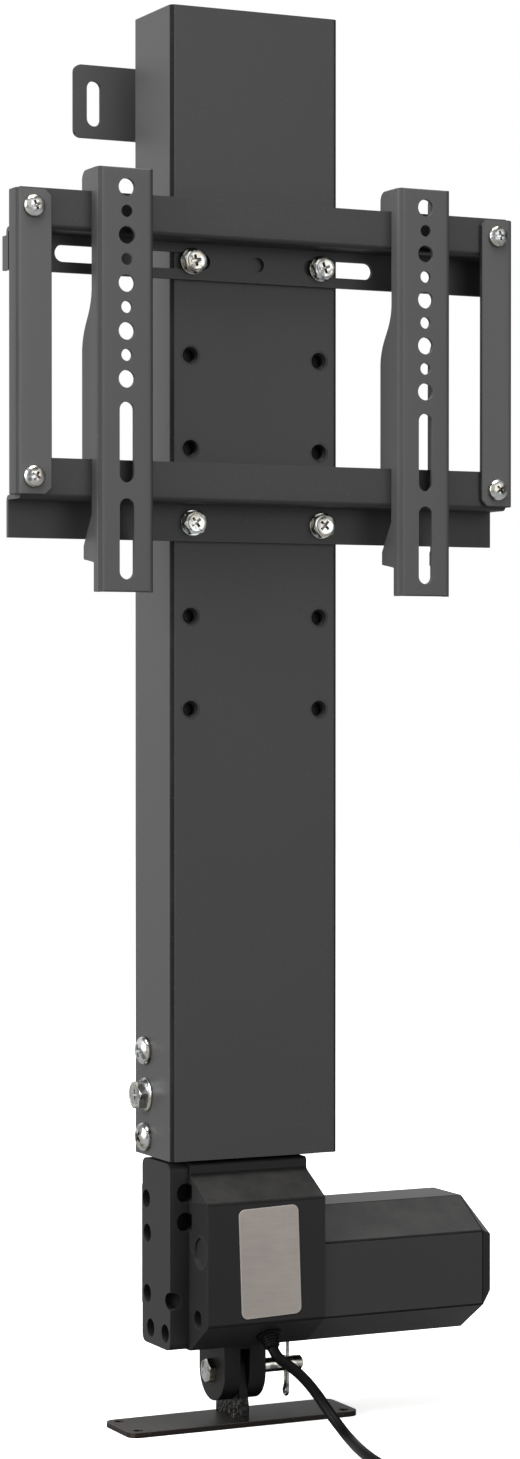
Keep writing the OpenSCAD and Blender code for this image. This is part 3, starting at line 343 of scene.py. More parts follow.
def bump(tree, shader, height, strength, distance):
    node = tree.nodes.new("ShaderNodeBump")
    node.inputs["Strength"].default_value = strength
    node.inputs["Distance"].default_value = distance
    tree.links.new(height, node.inputs["Height"])
    tree.links.new(node.outputs["Normal"], shader.inputs["Normal"])


def paintMaterial(name, colour, lighter, rough=0.42, specular=0.26, wear=0.08, dust=0.07, grain=880.0, cast=False,
                  line=0.6, foldShadeAndHighlightColour="0e0e0e", fold=(0.84, 0.98), sideShadeColour=None, flankShadeColour=None):
    material, tree, shader, place = startMaterial(name)
    coat = useGroup(tree, castGrain if cast else powderCoat, place, Scale=grain)
    edges = useGroup(tree, edgeWear, place, Amount=wear)
    dirt = useGroup(tree, settledDust, place, Amount=dust)
    folds = useGroup(tree, foldShade, place, From=fold[0], Full=fold[1])
    plain = mixColour(tree, coat["Tone"], colour, lighter)
    # painted shade: upright faces darkened, as on the foot plate's edges
    if sideShadeColour:
        plain = mixColour(tree, times(tree, folds["Side"], 0.85), plain, sideShadeColour)
    # painted shade: faces turned to the sides (along X) darkened
    if flankShadeColour:
        plain = mixColour(tree, folds["Flank"], plain, flankShadeColour)
    # painted shade along folds and softened edges; where the line colour is light, as on the foot plate, a painted
    # highlight
    foldShadeAndHighlight = times(tree, folds["Mask"], line)
    base = mixColour(tree, foldShadeAndHighlight, plain, foldShadeAndHighlightColour)
    flecks = times(tree, coat["Speck"], 0.3)
    flecked = mixColour(tree, flecks, base, "181818" if cast else "6a6a6a")
    worn = mixColour(tree, edges["Mask"], flecked, "8d8b87")
    tree.links.new(mixColour(tree, dirt["Mask"], worn, "8a8780"), shader.inputs["Base Color"])
    roughness = mathNode(tree, "ADD", times(tree, coat["Tone"], 0.07), times(tree, dirt["Mask"], 0.4))
    dulled = mathNode(tree, "ADD", roughness, times(tree, foldShadeAndHighlight, 0.5))
    tree.links.new(mathNode(tree, "ADD", dulled, rough, clamp=True), shader.inputs["Roughness"])
    tree.links.new(times(tree, edges["Mask"], 0.8), shader.inputs["Metallic"])
    shader.inputs["Specular IOR Level"].default_value = specular
    strength, depth = (0.35, 0.00025) if cast else (0.22, 0.00012)
    bump(tree, shader, coat["Height"], strength, depth)
    return material


def metalMaterial(name, colour, tint, rough, scale, stretch=(1.0, 1.0, 1.0), grimeShadeReflectionColour="2a2824", reflectionPatches=0.0,
                  rimShade=0.0):
    material, tree, shader, place = startMaterial(name)
    grain = useGroup(tree, metalGrain, place, Scale=scale, Stretch=stretch)
    edges = useGroup(tree, edgeWear, place, Amount=0.5, Width=0.0004, Scale=420.0)
    base = mixColour(tree, grain["Stain"], colour, tint)
    # painted shade: with a rim darkening the rims turn to the dark colour; without one, worn rims lighten
    if rimShade:
        wearAndRimShade = mixColour(tree, times(tree, edges["Edge"], rimShade), base, grimeShadeReflectionColour)
    else:
        wearAndRimShade = mixColour(tree, edges["Mask"], base, "f2f0ea")
    # dark grain streaks; on zinc also dark patches, painted reflections of dark surroundings
    soot = times(tree, mathNode(tree, "SUBTRACT", 1.0, grain["Streak"]), 0.16)
    paintedReflection = times(tree, rangeNode(tree, noiseNode(tree, place, 210.0, 2, 0.45), 0.5, 0.64), reflectionPatches)
    dark = mathNode(tree, "MAXIMUM", soot, paintedReflection)
    tree.links.new(mixColour(tree, dark, wearAndRimShade, grimeShadeReflectionColour), shader.inputs["Base Color"])
    tree.links.new(mathNode(tree, "ADD", times(tree, grain["Streak"], 0.16), rough, clamp=True),
                   shader.inputs["Roughness"])
    shader.inputs["Metallic"].default_value = 1.0
    bump(tree, shader, grain["Height"], 0.12, 0.0001)
    return material


def plasticMaterial(name, colour, lighter, rough, grain=1400.0, dust=0.15, specular=0.45):
    material, tree, shader, place = startMaterial(name)
    coat = useGroup(tree, castGrain, place, Scale=grain)
    dirt = useGroup(tree, settledDust, place, Amount=dust)
    base = mixColour(tree, coat["Tone"], colour, lighter)
    tree.links.new(mixColour(tree, dirt["Mask"], base, "7f7c77"), shader.inputs["Base Color"])
    tree.links.new(mathNode(tree, "ADD", times(tree, coat["Tone"], 0.1), rough, clamp=True),
                   shader.inputs["Roughness"])
    shader.inputs["Specular IOR Level"].default_value = specular
    bump(tree, shader, coat["Height"], 0.25, 0.0001)
    return material


finishes = {
    # each paint's line colour is painted shade along its folds and softened edges; the column's darkest one runs
    # along its bends
    "column_paint": paintMaterial("columnPaint", "3e3e3e", "414141", grain=950.0, line=0.95, foldShadeAndHighlightColour="070707",
                                  fold=(0.5, 0.78)),
    "frame_paint": paintMaterial("framePaint", "3b3b3b", "3e3e3e", grain=900.0, line=0.35),
    "gearbox_paint": paintMaterial("gearboxPaint", "1f1f1f", "232323", rough=0.48, specular=0.2, grain=1100.0,
                                   cast=True, foldShadeAndHighlightColour="060606"),
    "motor_paint": paintMaterial("motorPaint", "2f2f2f", "323232", rough=0.45, grain=1000.0, wear=0.1, line=0.9,
                                 foldShadeAndHighlightColour="080808"),
    # foot plate: a painted brown highlight along its edges, and painted shade on its upright faces
    "foot_paint": paintMaterial("footPaint", "151312", "1b1817", rough=0.5, specular=0.2, grain=700.0, wear=0.3,
                                dust=0.05, line=0.55, foldShadeAndHighlightColour="4a3a32", sideShadeColour="140c09"),
    # zinc: its dark patches are painted reflections, its dark rims painted shade
    "zinc": metalMaterial("brightZinc", "d1d4d6", "b7b3a8", rough=0.14, scale=260.0, grimeShadeReflectionColour="101112", reflectionPatches=0.7,
                          rimShade=0.75),
    "steel": metalMaterial("oiledSteel", "a9a9ab", "9a9894", rough=0.24, scale=500.0, stretch=(1.0, 1.0, 0.1)),
    "brass": metalMaterial("machinedBrass", "c59a4d", "b78b45", rough=0.26, scale=400.0, grimeShadeReflectionColour="3a2c14"),
    "nylon": plasticMaterial("whiteNylon", "d6d3c6", "cbc8ba", rough=0.42),
    "insert_black": plasticMaterial("blackZinc", "080808", "0d0d0d", rough=0.5, grain=1500.0, dust=0.03,
                                    specular=0.2),
    "cable_sheath": plasticMaterial("cableSheath", "060606", "090909", rough=0.36, grain=900.0, dust=0.02,
                                    specular=0.07),
    "cable_moulding": plasticMaterial("cableMoulding", "080808", "0c0c0c", rough=0.42, grain=1200.0, dust=0.02,
                                      specular=0.1),
}
# arms, bars and bracket: painted shade on their sideways faces; the right arm's copy has no such shade and a fainter
# fold line
armPaint = paintMaterial("armPaint", "515151", "545454", specular=0.3, line=0.55, fold=(0.7, 0.9),
                         flankShadeColour="414141")
barPaint = paintMaterial("barPaint", "595959", "5d5d5d", specular=0.3, fold=(0.7, 0.9), flankShadeColour="343434")
rightArmPaint = paintMaterial("rightArmPaint", "515151", "545454", specular=0.3, line=0.4, fold=(0.7, 0.9))
bracketPaint = paintMaterial("bracketPaint", "4c4c4c", "505050", rough=0.45, line=0.85, flankShadeColour="141414")
forkPaint = paintMaterial("forkPaint", "131212", "191817", rough=0.45, specular=0.18, grain=800.0, wear=0.2,
                          cast=True, foldShadeAndHighlightColour="050505")

weldBand = {"top": 0.0185, "full": 0.0145, "beads": 240.0}      # metres above the ground, and the beads' scale


def weldedPaint():
    material, tree, shader, place = startMaterial("weldedPaint")
    coat = useGroup(tree, castGrain, place, Scale=800.0)
    edges = useGroup(tree, edgeWear, place, Amount=0.2)
    parts = tree.nodes.new("ShaderNodeSeparateXYZ")
    tree.links.new(place, parts.inputs["Vector"])
    lowBand = rangeNode(tree, parts.outputs["Z"], weldBand["top"], weldBand["full"])
    beads = noiseNode(tree, place, weldBand["beads"], 2, 0.6)
    spots = times(tree, rangeNode(tree, beads, 0.56, 0.64), lowBand)
    plain = mixColour(tree, coat["Tone"], "0c0b0b", "12100f")
    # painted highlight: lighter grey glints on the weld beads
    beadGlints = mixColour(tree, times(tree, spots, 0.75), plain, "55504c")
    tree.links.new(mixColour(tree, edges["Mask"], beadGlints, "6f6a64"), shader.inputs["Base Color"])
    tree.links.new(mathNode(tree, "SUBTRACT", 0.5, times(tree, lowBand, 0.2)), shader.inputs["Roughness"])
    shader.inputs["Specular IOR Level"].default_value = 0.15
    raised = times(tree, times(tree, beads, lowBand), 3.0)
    height = mathNode(tree, "ADD", times(tree, coat["Height"], 0.15), raised)
    bump(tree, shader, height, 0.6, 0.0009)
    return material


paintOfNode = {"left_arm": armPaint, "right_arm": rightArmPaint, "left_bar": barPaint, "right_bar": barPaint,
               "rear_bracket": bracketPaint, "hinge_fork": forkPaint, "foot_tongue": weldedPaint()}

slotOfNode = {part["node"]: part["material_slot"] for part in frame["record"]["subparts"]}
for name, node in nodes.items():
    node.data.materials.clear()
    node.data.materials.append(paintOfNode.get(name, finishes[slotOfNode[name]]))
cable.data.materials.append(finishes["cable_sheath"])
print("finishes on", len(nodes), "nodes")

# Mesh helpers: everything is modelled in millimetres and scaled once, in pieceFrom


def pieceFrom(bm, name, body, slotName, smoothAngle=35, replaced=(), finish=None):
    bmesh.ops.scale(bm, vec=(mm, mm, mm), verts=bm.verts)
    mesh = bpy.data.meshes.new(name)
    bm.to_mesh(mesh)
    bm.free()
    for polygon in mesh.polygons:
        polygon.use_smooth = True
    piece = bpy.data.objects.new(name, mesh)
    scene.collection.objects.link(piece)
    mesh.set_sharp_from_angle(angle=math.radians(smoothAngle))
    even = piece.modifiers.new("evenNormals", "WEIGHTED_NORMAL")
    even.keep_sharp = True
    even.weight = 100
    mesh.materials.append(finish or finishes[slotName])
    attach(piece, body)
    if replaced:
        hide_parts(*replaced)
    return piece


def boxOf(node):
    low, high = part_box(node)
    return low / mm, high / mm


def insets(node, width):      # on each axis, the centres of the node's outermost parts of that width
    low, high = boxOf(node)
    return [(a + width / 2, b - width / 2) for a, b in zip(low, high)]


def camelName(node):
    first, *rest = node.split("_")
    return first + "".join(word.capitalize() for word in rest)


def lathe(profile, steps=48):
    bm = bmesh.new()
    verts = [bm.verts.new((r, 0, z)) for r, z in profile]
    edges = [bm.edges.new(pair) for pair in zip(verts, verts[1:])]
    bmesh.ops.spin(bm, geom=verts + edges, cent=(0, 0, 0), axis=(0, 0, 1), angle=2 * math.pi, steps=steps,
                   use_merge=True)
    bmesh.ops.remove_doubles(bm, verts=bm.verts, dist=1e-4)
    bmesh.ops.recalc_face_normals(bm, faces=bm.faces)
    return bm


def scratchMesh(bm):
    mesh = bpy.data.meshes.new("scratch")
    bm.to_mesh(mesh)
    bm.free()
    return mesh


def asObject(bm):
    made = bpy.data.objects.new("scratch", scratchMesh(bm))
    scene.collection.objects.link(made)
    return made


def combined(bm, tool, operation):
    body, cutter = asObject(bm), asObject(tool)
    step = body.modifiers.new("cut", "BOOLEAN")
    step.operation = operation
    step.solver = "EXACT"
    step.object = cutter
    bpy.context.view_layer.update()
    result = bmesh.new()
    result.from_object(body, bpy.context.evaluated_depsgraph_get())
    bpy.data.objects.remove(body)
    bpy.data.objects.remove(cutter)
    return result


def joined(*parts):
    out = bmesh.new()
    for bm in parts:
        mesh = scratchMesh(bm)
        out.from_mesh(mesh)
        bpy.data.meshes.remove(mesh)
    return out


def repeated(bm, places):
    mesh = scratchMesh(bm)
    out = bmesh.new()
    for place in places:
        before = len(out.verts)
        out.from_mesh(mesh)
        out.verts.ensure_lookup_table()
        bmesh.ops.transform(out, matrix=place, verts=out.verts[before:])
    bpy.data.meshes.remove(mesh)
    return out


facings = {
    "front": Matrix.Rotation(math.pi / 2, 4, "X"), "back": Matrix.Rotation(-math.pi / 2, 4, "X"),
    "right": Matrix.Rotation(math.pi / 2, 4, "Y"), "left": Matrix.Rotation(-math.pi / 2, 4, "Y"),
    "down": Matrix.Rotation(math.pi, 4, "X"),
}


def placed(x, y, z, facing, turn=0.0):
    return Matrix.Translation((x, y, z)) @ facings[facing] @ Matrix.Rotation(math.radians(turn), 4, "Z")


def raiseFaces(bm, height):      # a flat sheet drawn up into a solid
    top = bmesh.ops.extrude_face_region(bm, geom=list(bm.faces))["geom"]
    bmesh.ops.translate(bm, verts=[v for v in top if isinstance(v, bmesh.types.BMVert)], vec=(0, 0, height))


def hexPrism(across, low, high):
    bm = bmesh.new()
    ring = bmesh.ops.create_circle(bm, cap_ends=True, radius=across / math.sqrt(3), segments=6)["verts"]
    bmesh.ops.translate(bm, verts=ring, vec=(0, 0, low))
    raiseFaces(bm, high - low)
    bmesh.ops.recalc_face_normals(bm, faces=bm.faces)
    return bm


def crossBar(size, top, depth, turn):
    bm = bmesh.new()
    bar = bmesh.ops.create_cube(bm, size=1)["verts"]
    for v in bar:
        deep = v.co.z < 0
        v.co.x *= size * (0.45 if deep else 1.0)
        v.co.y *= size * (0.15 if deep else 0.21)
        v.co.z = top - depth if deep else top + depth * 0.4
    bmesh.ops.rotate(bm, verts=bar, cent=(0, 0, 0), matrix=Matrix.Rotation(turn, 3, "Z"))
    return bm


def withCross(bm, size, top, depth):
    cross = combined(crossBar(size, top, depth, 0), crossBar(size, top, depth, math.pi / 2), "UNION")
    return combined(bm, cross, "DIFFERENCE")


def domeProfile(radius, height, steps=9):
    points = [(radius * 0.97, 0), (radius, height * 0.08)]
    for i in range(steps + 1):
        t = math.pi / 2 * i / steps
        points.append((radius * math.cos(t) ** 0.75, height * (0.22 + 0.78 * math.sin(t) ** 1.1)))
    return points


def panScrew(kind):
    shank, length, height = kind["shank"] / 2, kind["length"], kind["height"]
    profile = [(0, -length), (shank - 0.5, -length), (shank, -length + 0.7), (shank, 0)]
    profile += domeProfile(kind["head"] / 2, height)
    profile[-1] = (0, height)
    return withCross(lathe(profile, 40), kind["cross"], height, height * 0.62)


def hexBolt(kind):
    low, high = kind["flangeThick"], kind["flangeThick"] + kind["height"]
    half, corner = kind["across"] / 2, kind["across"] / math.sqrt(3)
    rim, shank, length = kind["flange"] / 2, kind["shank"] / 2, kind["length"]
    crown = lathe([(0, -1), (corner + 1, -1), (corner + 1, high - 1.7), (half - 0.1, high - 0.15), (half - 0.9, high),
                   (half - 1.6, high - 0.35), (0, high - 0.35)])
    head = combined(hexPrism(kind["across"], low * 0.5, high + 1), crown, "INTERSECT")
    head = withCross(head, kind["cross"], high - 0.3, kind["height"] * 0.5)
    skirt = lathe([(0, 0), (rim - 0.3, 0), (rim, 0.25), (rim, 0.75), (rim - 0.35, 1.0), (corner * 0.98, low + 0.35),
                   (0, low + 0.35)])
    rod = lathe([(0, -length), (shank - 0.6, -length), (shank, -length + 0.8), (shank, 0.2), (0, 0.2)], 32)
    return joined(head, skirt, rod)


def fasten(node, body, make, kind, places):
    spots = [placed(*place, turn) for place, turn in zip(places, kind["turns"])]
    pieceFrom(repeated(make(kind), spots), camelName(node), body, "zinc", replaced=(node,))


# Bright fasteners, each on the seat that the frame gives

railBolt = {"across": 12, "height": 4.3, "flange": 14.2, "flangeThick": 1.0, "shank": 6.7, "length": 8.5,
            "cross": 7.4, "turns": (12, 38, 20, 47)}
xs, _, zs = insets("rail_bolts", railBolt["flange"])
seatY = boxOf("rail_bolts")[1].y - railBolt["length"]
fasten("rail_bolts", "outer", hexBolt, railBolt, [(x, seatY, z, "front") for x in xs for z in zs[::-1]])

barScrew = {"head": 12, "height": 3.6, "shank": 5.2, "length": 6, "cross": 6.2, "turns": (25, 62, 8, 40)}
xs, _, zs = insets("bar_screws", barScrew["head"])
seatY = boxOf("bar_screws")[0].y + barScrew["height"]
fasten("bar_screws", "outer", panScrew, barScrew, [(x, seatY, z, "front") for x in xs for z in zs[::-1]])

guideScrew = {"head": 15.6, "height": 5, "shank": 4.8, "length": 3.8, "cross": 8.6, "turns": (14, 55, 33, 70)}
low, high = boxOf("guide_screws")
zs = insets("guide_screws", guideScrew["head"])[2]
seatX = high.x - guideScrew["height"]
places = [(x, (low.y + high.y) / 2, z, side) for x, side in ((-seatX, "left"), (seatX, "right")) for z in zs[::-1]]
fasten("guide_screws", "outer", panScrew, guideScrew, places)

guideBolt = {"across": 14.5, "height": 5.4, "flange": 18.5, "flangeThick": 1.6, "shank": 6.2, "length": 3.8,
             "cross": 7.0, "turns": (8, 31)}
low, high = boxOf("guide_bolts")
middle = (low + high) / 2
seatX = high.x - guideBolt["flangeThick"] - guideBolt["height"]
places = [(-seatX, middle.y, middle.z, "left"), (seatX, middle.y, middle.z, "right")]
fasten("guide_bolts", "outer", hexBolt, guideBolt, places)

motorScrew = {"head": 8, "height": 2.6, "shank": 4.1, "length": 17, "cross": 4.4, "turns": (5, 50, 28, 66)}
_, ys, zs = insets("motor_screws", motorScrew["head"])
seatX = boxOf("motor_screws")[1].x - motorScrew["height"]
fasten("motor_screws", "base", panScrew, motorScrew, [(seatX, y, z, "right") for y in ys for z in zs[::-1]])

coverScrew = {"head": 7, "height": 2, "shank": 4.1, "length": 8.5, "cross": 4.0, "turns": (16, 44, 71, 9)}
xs, ys, _ = insets("cover_screws", coverScrew["head"])
seatZ = boxOf("cover_screws")[0].z + coverScrew["height"]
fasten("cover_screws", "base", panScrew, coverScrew, [(x, y, seatZ, "down") for x in xs for y in ys])

bracketScrew = {"head": 9, "height": 3, "shank": 4.8, "length": 8, "cross": 5.0, "turns": (20, 55)}
low, high = boxOf("bracket_screws")
xs = insets("bracket_screws", bracketScrew["head"])[0]
places = [(x, high.y - bracketScrew["height"], (low.z + high.z) / 2, "back") for x in xs]
fasten("bracket_screws", "base", panScrew, bracketScrew, places)
print("fasteners made")

# Hinge pin with a chamfered hexagon head, a dished end and the clip through it

hingePin = {"across": 12, "headHeight": 4, "headTurn": 20, "diameter": 8, "clipHole": 2.4, "clipAt": 31.7}
low, high = boxOf("hinge_pin")
headEnd = low.x + hingePin["headHeight"]
pinEnd = headEnd - high.x
half, thick = hingePin["across"] / 2, hingePin["headHeight"]
crown = lathe([(0, -1), (9, -1), (9, thick - 1.5), (half, thick - 0.1), (half - 0.8, thick), (0, thick)])
head = combined(hexPrism(hingePin["across"], 0, thick + 1), crown, "INTERSECT")
r, hole = hingePin["diameter"] / 2, hingePin["clipHole"] / 2
stem = lathe([(0, 0.2), (r, 0.2), (r, pinEnd + 1.0), (r - 0.9, pinEnd + 0.1), (r - 1.1, pinEnd), (1.5, pinEnd),
              (0, pinEnd + 0.5)])
drill = lathe([(0, -9), (hole, -9), (hole, 9), (0, 9)], 24)
bmesh.ops.rotate(drill, verts=drill.verts, cent=(0, 0, 0), matrix=Matrix.Rotation(math.pi / 2, 3, "Y"))
bmesh.ops.translate(drill, verts=drill.verts, vec=(0, 0, headEnd - hingePin["clipAt"]))
pinPlace = placed(headEnd, 0, (low.z + high.z) / 2, "left", hingePin["headTurn"])
pieceFrom(repeated(joined(head, combined(stem, drill, "DIFFERENCE")), [pinPlace]), "hingePin", "base", "zinc",
          replaced=("hinge_pin",))

hairpin = {"wire": 1.8, "leg": 43.5, "pinHeight": 29, "loop": 2.2, "loopHeight": 13.4, "smooth": 6}
grip = hingePin["diameter"] / 2 + hairpin["wire"] / 2 + 0.15
outline = [(0, hairpin["leg"]), (0, hairpin["pinHeight"]), (0, 20)]
for step in range(8):      # the loop below the pin
    a = math.radians(180 + 30 * step)
    outline.append((hairpin["loop"] * (1 + math.cos(a)), hairpin["loopHeight"] + hairpin["loop"] * math.sin(a)))
outline.append((2.4, 19))
for step in range(5):      # the bend that grips the pin
    a = math.radians(-55 + 24 * step)
    outline.append((grip * math.cos(a), hairpin["pinHeight"] + grip * math.sin(a)))
wireLine = [Vector((hingePin["clipAt"], y, z)) for y, z in outline]
clip = roundWire("hairpinClip", catmullRom(wireLine, hairpin["smooth"]), hairpin["wire"] / 2)
clip.data.materials.append(finishes["zinc"])
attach(clip, "base")
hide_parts("hairpin_clip")
print("hinge pin and clip made")

# Threaded inserts in the column's front

insert = {"rim": 11, "sink": 9.0, "core": 6.8, "length": 6.5, "pitch": 1.25, "flange": 12.6, "step": 50, "rows": 3}


def threadedInsert():
    r, lip, core = insert["rim"] / 2 - 0.02, insert["sink"] / 2, insert["core"] / 2
    out, deep = insert["flange"] / 2, -insert["length"]
    profile = [(lip, -0.12), (lip + 0.1, -0.5), (r, -0.5), (r, -2.0), (out, -2.0), (out, deep), (core + 0.3, deep)]
    for i in reversed(range(int(insert["length"] / insert["pitch"]) - 1)):
        z = -0.9 - i * insert["pitch"]
        profile += [(core + 0.65, z - insert["pitch"] / 2), (core, z)]
    return lathe(profile + [(lip - 0.5, -0.4), (lip, -0.12)], 40)


def insertRim():
    r, lip = insert["rim"] / 2 - 0.02, insert["sink"] / 2
    return lathe([(lip + 0.1, -0.45), (lip + 0.1, -0.05), (lip + 0.25, 0), (r - 0.3, 0), (r, -0.2), (r, -0.45),
                  (lip + 0.1, -0.45)], 40)


xs, _, zs = insets("thread_inserts", insert["flange"])
frontY = boxOf("thread_inserts")[0].y
rows = [z - insert["step"] * k for z in (zs[1], zs[0] + insert["step"] * (insert["rows"] - 1))
        for k in range(insert["rows"])]
places = [placed(x, frontY, z, "front") for x in xs for z in rows]
pieceFrom(repeated(threadedInsert(), places), "threadedInserts", "outer", "insert_black",
          replaced=("thread_inserts",))
pieceFrom(repeated(insertRim(), places), "insertRims", "outer", "insert_black", finish=finishes["column_paint"])

# Threads of the hollow screw and of the tube that it lifts: two starts, ten millimetres a turn

screwThread = {"root": 8.9, "crest": 10, "bore": 7.5, "hand": 1, "plainTop": 19, "collar": 12.5, "collarFrom": 13,
               "collarTo": 10.3}
tubeThread = {"root": 6.1, "crest": 6.8, "bore": 4.6, "hand": -1, "plainTop": 26}
thread = {"lead": 10, "starts": 2, "crestShare": 0.34, "flankShare": 0.12, "steps": 32}


def threadedTube(kind, low, high):
    pitch = thread["lead"] / thread["starts"]
    shares = (0, thread["crestShare"], thread["crestShare"] + thread["flankShare"], 1 - thread["flankShare"])
    radii = (kind["crest"], kind["crest"], kind["root"], kind["root"])
    bm = bmesh.new()
    count = int((high - low + 2 * thread["lead"]) / pitch) + 3
    first = low - thread["lead"] - pitch
    verts = [bm.verts.new((r, 0, first + pitch * (k + share))) for k in range(count)
             for share, r in zip(shares, radii)]
    edges = [bm.edges.new(pair) for pair in zip(verts, verts[1:])]
    rise = kind["hand"] * thread["lead"] / thread["steps"]
    bmesh.ops.spin(bm, geom=verts + edges, cent=(0, 0, 0), axis=(0, 0, 1), dvec=(0, 0, rise), angle=2 * math.pi,
                   steps=thread["steps"])
    bmesh.ops.remove_doubles(bm, verts=bm.verts, dist=1e-3)
    for z, below in ((low, True), (high, False)):
        bmesh.ops.bisect_plane(bm, geom=bm.verts[:] + bm.edges[:] + bm.faces[:], dist=1e-4, plane_co=(0, 0, z),
                               plane_no=(0, 0, 1), clear_inner=below, clear_outer=not below)
    wall = [bm.verts.new((kind["bore"], 0, z)) for z in (low, high)]
    bmesh.ops.spin(bm, geom=wall + [bm.edges.new(wall)], cent=(0, 0, 0), axis=(0, 0, 1), angle=2 * math.pi,
                   steps=thread["steps"], use_merge=True)
    bmesh.ops.remove_doubles(bm, verts=bm.verts, dist=1e-4)
    for z in (low, high):
        bmesh.ops.bridge_loops(bm, edges=[e for e in bm.edges if e.is_boundary
                                          and all(abs(v.co.z - z) < 1e-3 for v in e.verts)])
    bmesh.ops.recalc_face_normals(bm, faces=bm.faces)
    return bm


low, high = boxOf("hollow_screw")
root, crest, bore, collar = (screwThread[key] for key in ("root", "crest", "bore", "collar"))
top, plain = high.z, high.z - screwThread["plainTop"]
step, ledge = top - screwThread["collarFrom"], top - screwThread["collarTo"]
pocket = boxOf("upper_nut")[0].z - 0.1
neck = lathe([(bore, plain - 1), (root, plain - 1), (crest, plain + 0.4), (crest, step), (collar - 0.4, step),
              (collar, step + 0.4), (collar, ledge - 0.4), (collar - 0.4, ledge), (crest, ledge), (crest, top - 0.4),
              (crest - 0.4, top), (bore + 1, top), (bore + 1, pocket), (bore, pocket), (bore, plain - 1)])
pieceFrom(joined(threadedTube(screwThread, low.z, plain), neck), "hollowScrew", nodes["hollow_screw"]["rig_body"],
          "steel", replaced=("hollow_screw",))

low, high = boxOf("lift_tube")
root, crest, bore = (tubeThread[key] for key in ("root", "crest", "bore"))
top, plain = high.z, high.z - tubeThread["plainTop"]
end = lathe([(bore, plain - 1), (root, plain - 1), (crest, plain + 0.4), (crest, top - 0.5), (crest - 0.5, top),
             (bore, top), (bore, plain - 1)])
pieceFrom(joined(threadedTube(tubeThread, low.z, plain), end), "liftTube", nodes["lift_tube"]["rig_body"], "steel",
          replaced=("lift_tube",))
print("threads cut")

# Bare silver plate on the gearbox's front

ratingPlate = {"width": 35.5, "height": 59, "corner": 3.6, "thick": 0.5, "centre": (-0.3, 94.0), "turn": 2.0}


def roundedPlate(kind):
    bm = bmesh.new()
    bmesh.ops.create_grid(bm, x_segments=1, y_segments=1, size=0.5)
    bmesh.ops.scale(bm, vec=(kind["width"], kind["height"], 1), verts=bm.verts)
    bmesh.ops.bevel(bm, geom=list(bm.verts), offset=kind["corner"], affect="VERTICES", segments=6, profile=0.5,
                    material=-1)
    raiseFaces(bm, kind["thick"])
    rim = [e for e in bm.edges if all(v.co.z > kind["thick"] / 2 for v in e.verts) and e.calc_face_angle(0) > 1]
    bmesh.ops.bevel(bm, geom=rim, offset=kind["thick"] * 0.4, affect="EDGES", segments=2, profile=0.5, material=-1)
    bmesh.ops.recalc_face_normals(bm, faces=bm.faces)
    return bm


def plateMaterial():
    material, tree, shader, place = startMaterial("satinPlate")
    grain = useGroup(tree, metalGrain, place, Scale=900.0, Stretch=(0.06, 1.0, 1.0))
    coat = useGroup(tree, powderCoat, place, Scale=1600.0, Cloud=22.0)
    edges = useGroup(tree, edgeWear, place, Amount=0.5, Width=0.0014)
    base = mixColour(tree, coat["Tone"], "a39b95", "968f8a")
    brushed = mixColour(tree, times(tree, grain["Streak"], 0.25), base, "b9b1aa")
    rim = mixColour(tree, times(tree, edges["Edge"], 0.6), brushed, "c4beb7")
    tree.links.new(rim, shader.inputs["Base Color"])
    tree.links.new(mathNode(tree, "ADD", times(tree, grain["Streak"], 0.14), 0.36), shader.inputs["Roughness"])
    shader.inputs["Metallic"].default_value = 0.35
    bump(tree, shader, grain["Height"], 0.1, 0.00005)
    return material


plateX, plateZ = ratingPlate["centre"]
platePlace = placed(plateX, boxOf("gearbox_case")[0].y, plateZ, "front", ratingPlate["turn"])
pieceFrom(repeated(roundedPlate(ratingPlate), [platePlace]), "ratingPlate", "base", "zinc", finish=plateMaterial())
print("inserts and plate made")

# Cable gland and plug

gland = {"flange": 7, "flangeThick": 1.6, "neck": 5.4, "ribs": 4}
plugKind = {"length": 34, "ribs": 5, "ribStep": 1.55, "grips": 16, "socket": 7, "pins": 4, "pinCircle": 2.6}


def glandMesh():
    r, length = cableRoute["diameter"] / 2, glandSeat["length"]
    rim, thick, neck, ribs = gland["flange"], gland["flangeThick"], gland["neck"], gland["ribs"]
    profile = [(0, 0), (rim - 0.4, 0), (rim, 0.4), (rim, thick - 0.4), (rim - 0.4, thick), (neck, thick + 0.2)]
    pitch = (length - thick - 0.6) / ribs
    for i in range(ribs):
        z = thick + 0.4 + pitch * i
        w = neck - (neck - r - 1.1) * i / ribs
        profile += [(w, z), (w - 0.15, z + pitch * 0.55), (w - 0.75, z + pitch * 0.65), (w - 0.75, z + pitch * 0.9)]
    return lathe(profile + [(r + 0.75, length - 0.3), (r + 0.45, length), (0, length)], 40)


glandTurn = Vector((0, 0, 1)).rotation_difference(seatWay).to_matrix().to_4x4()
glandPiece = pieceFrom(repeated(glandMesh(), [Matrix.Translation(seat) @ glandTurn]), "cableGland", "base",
                       "cable_moulding", replaced=("cable_gland",))


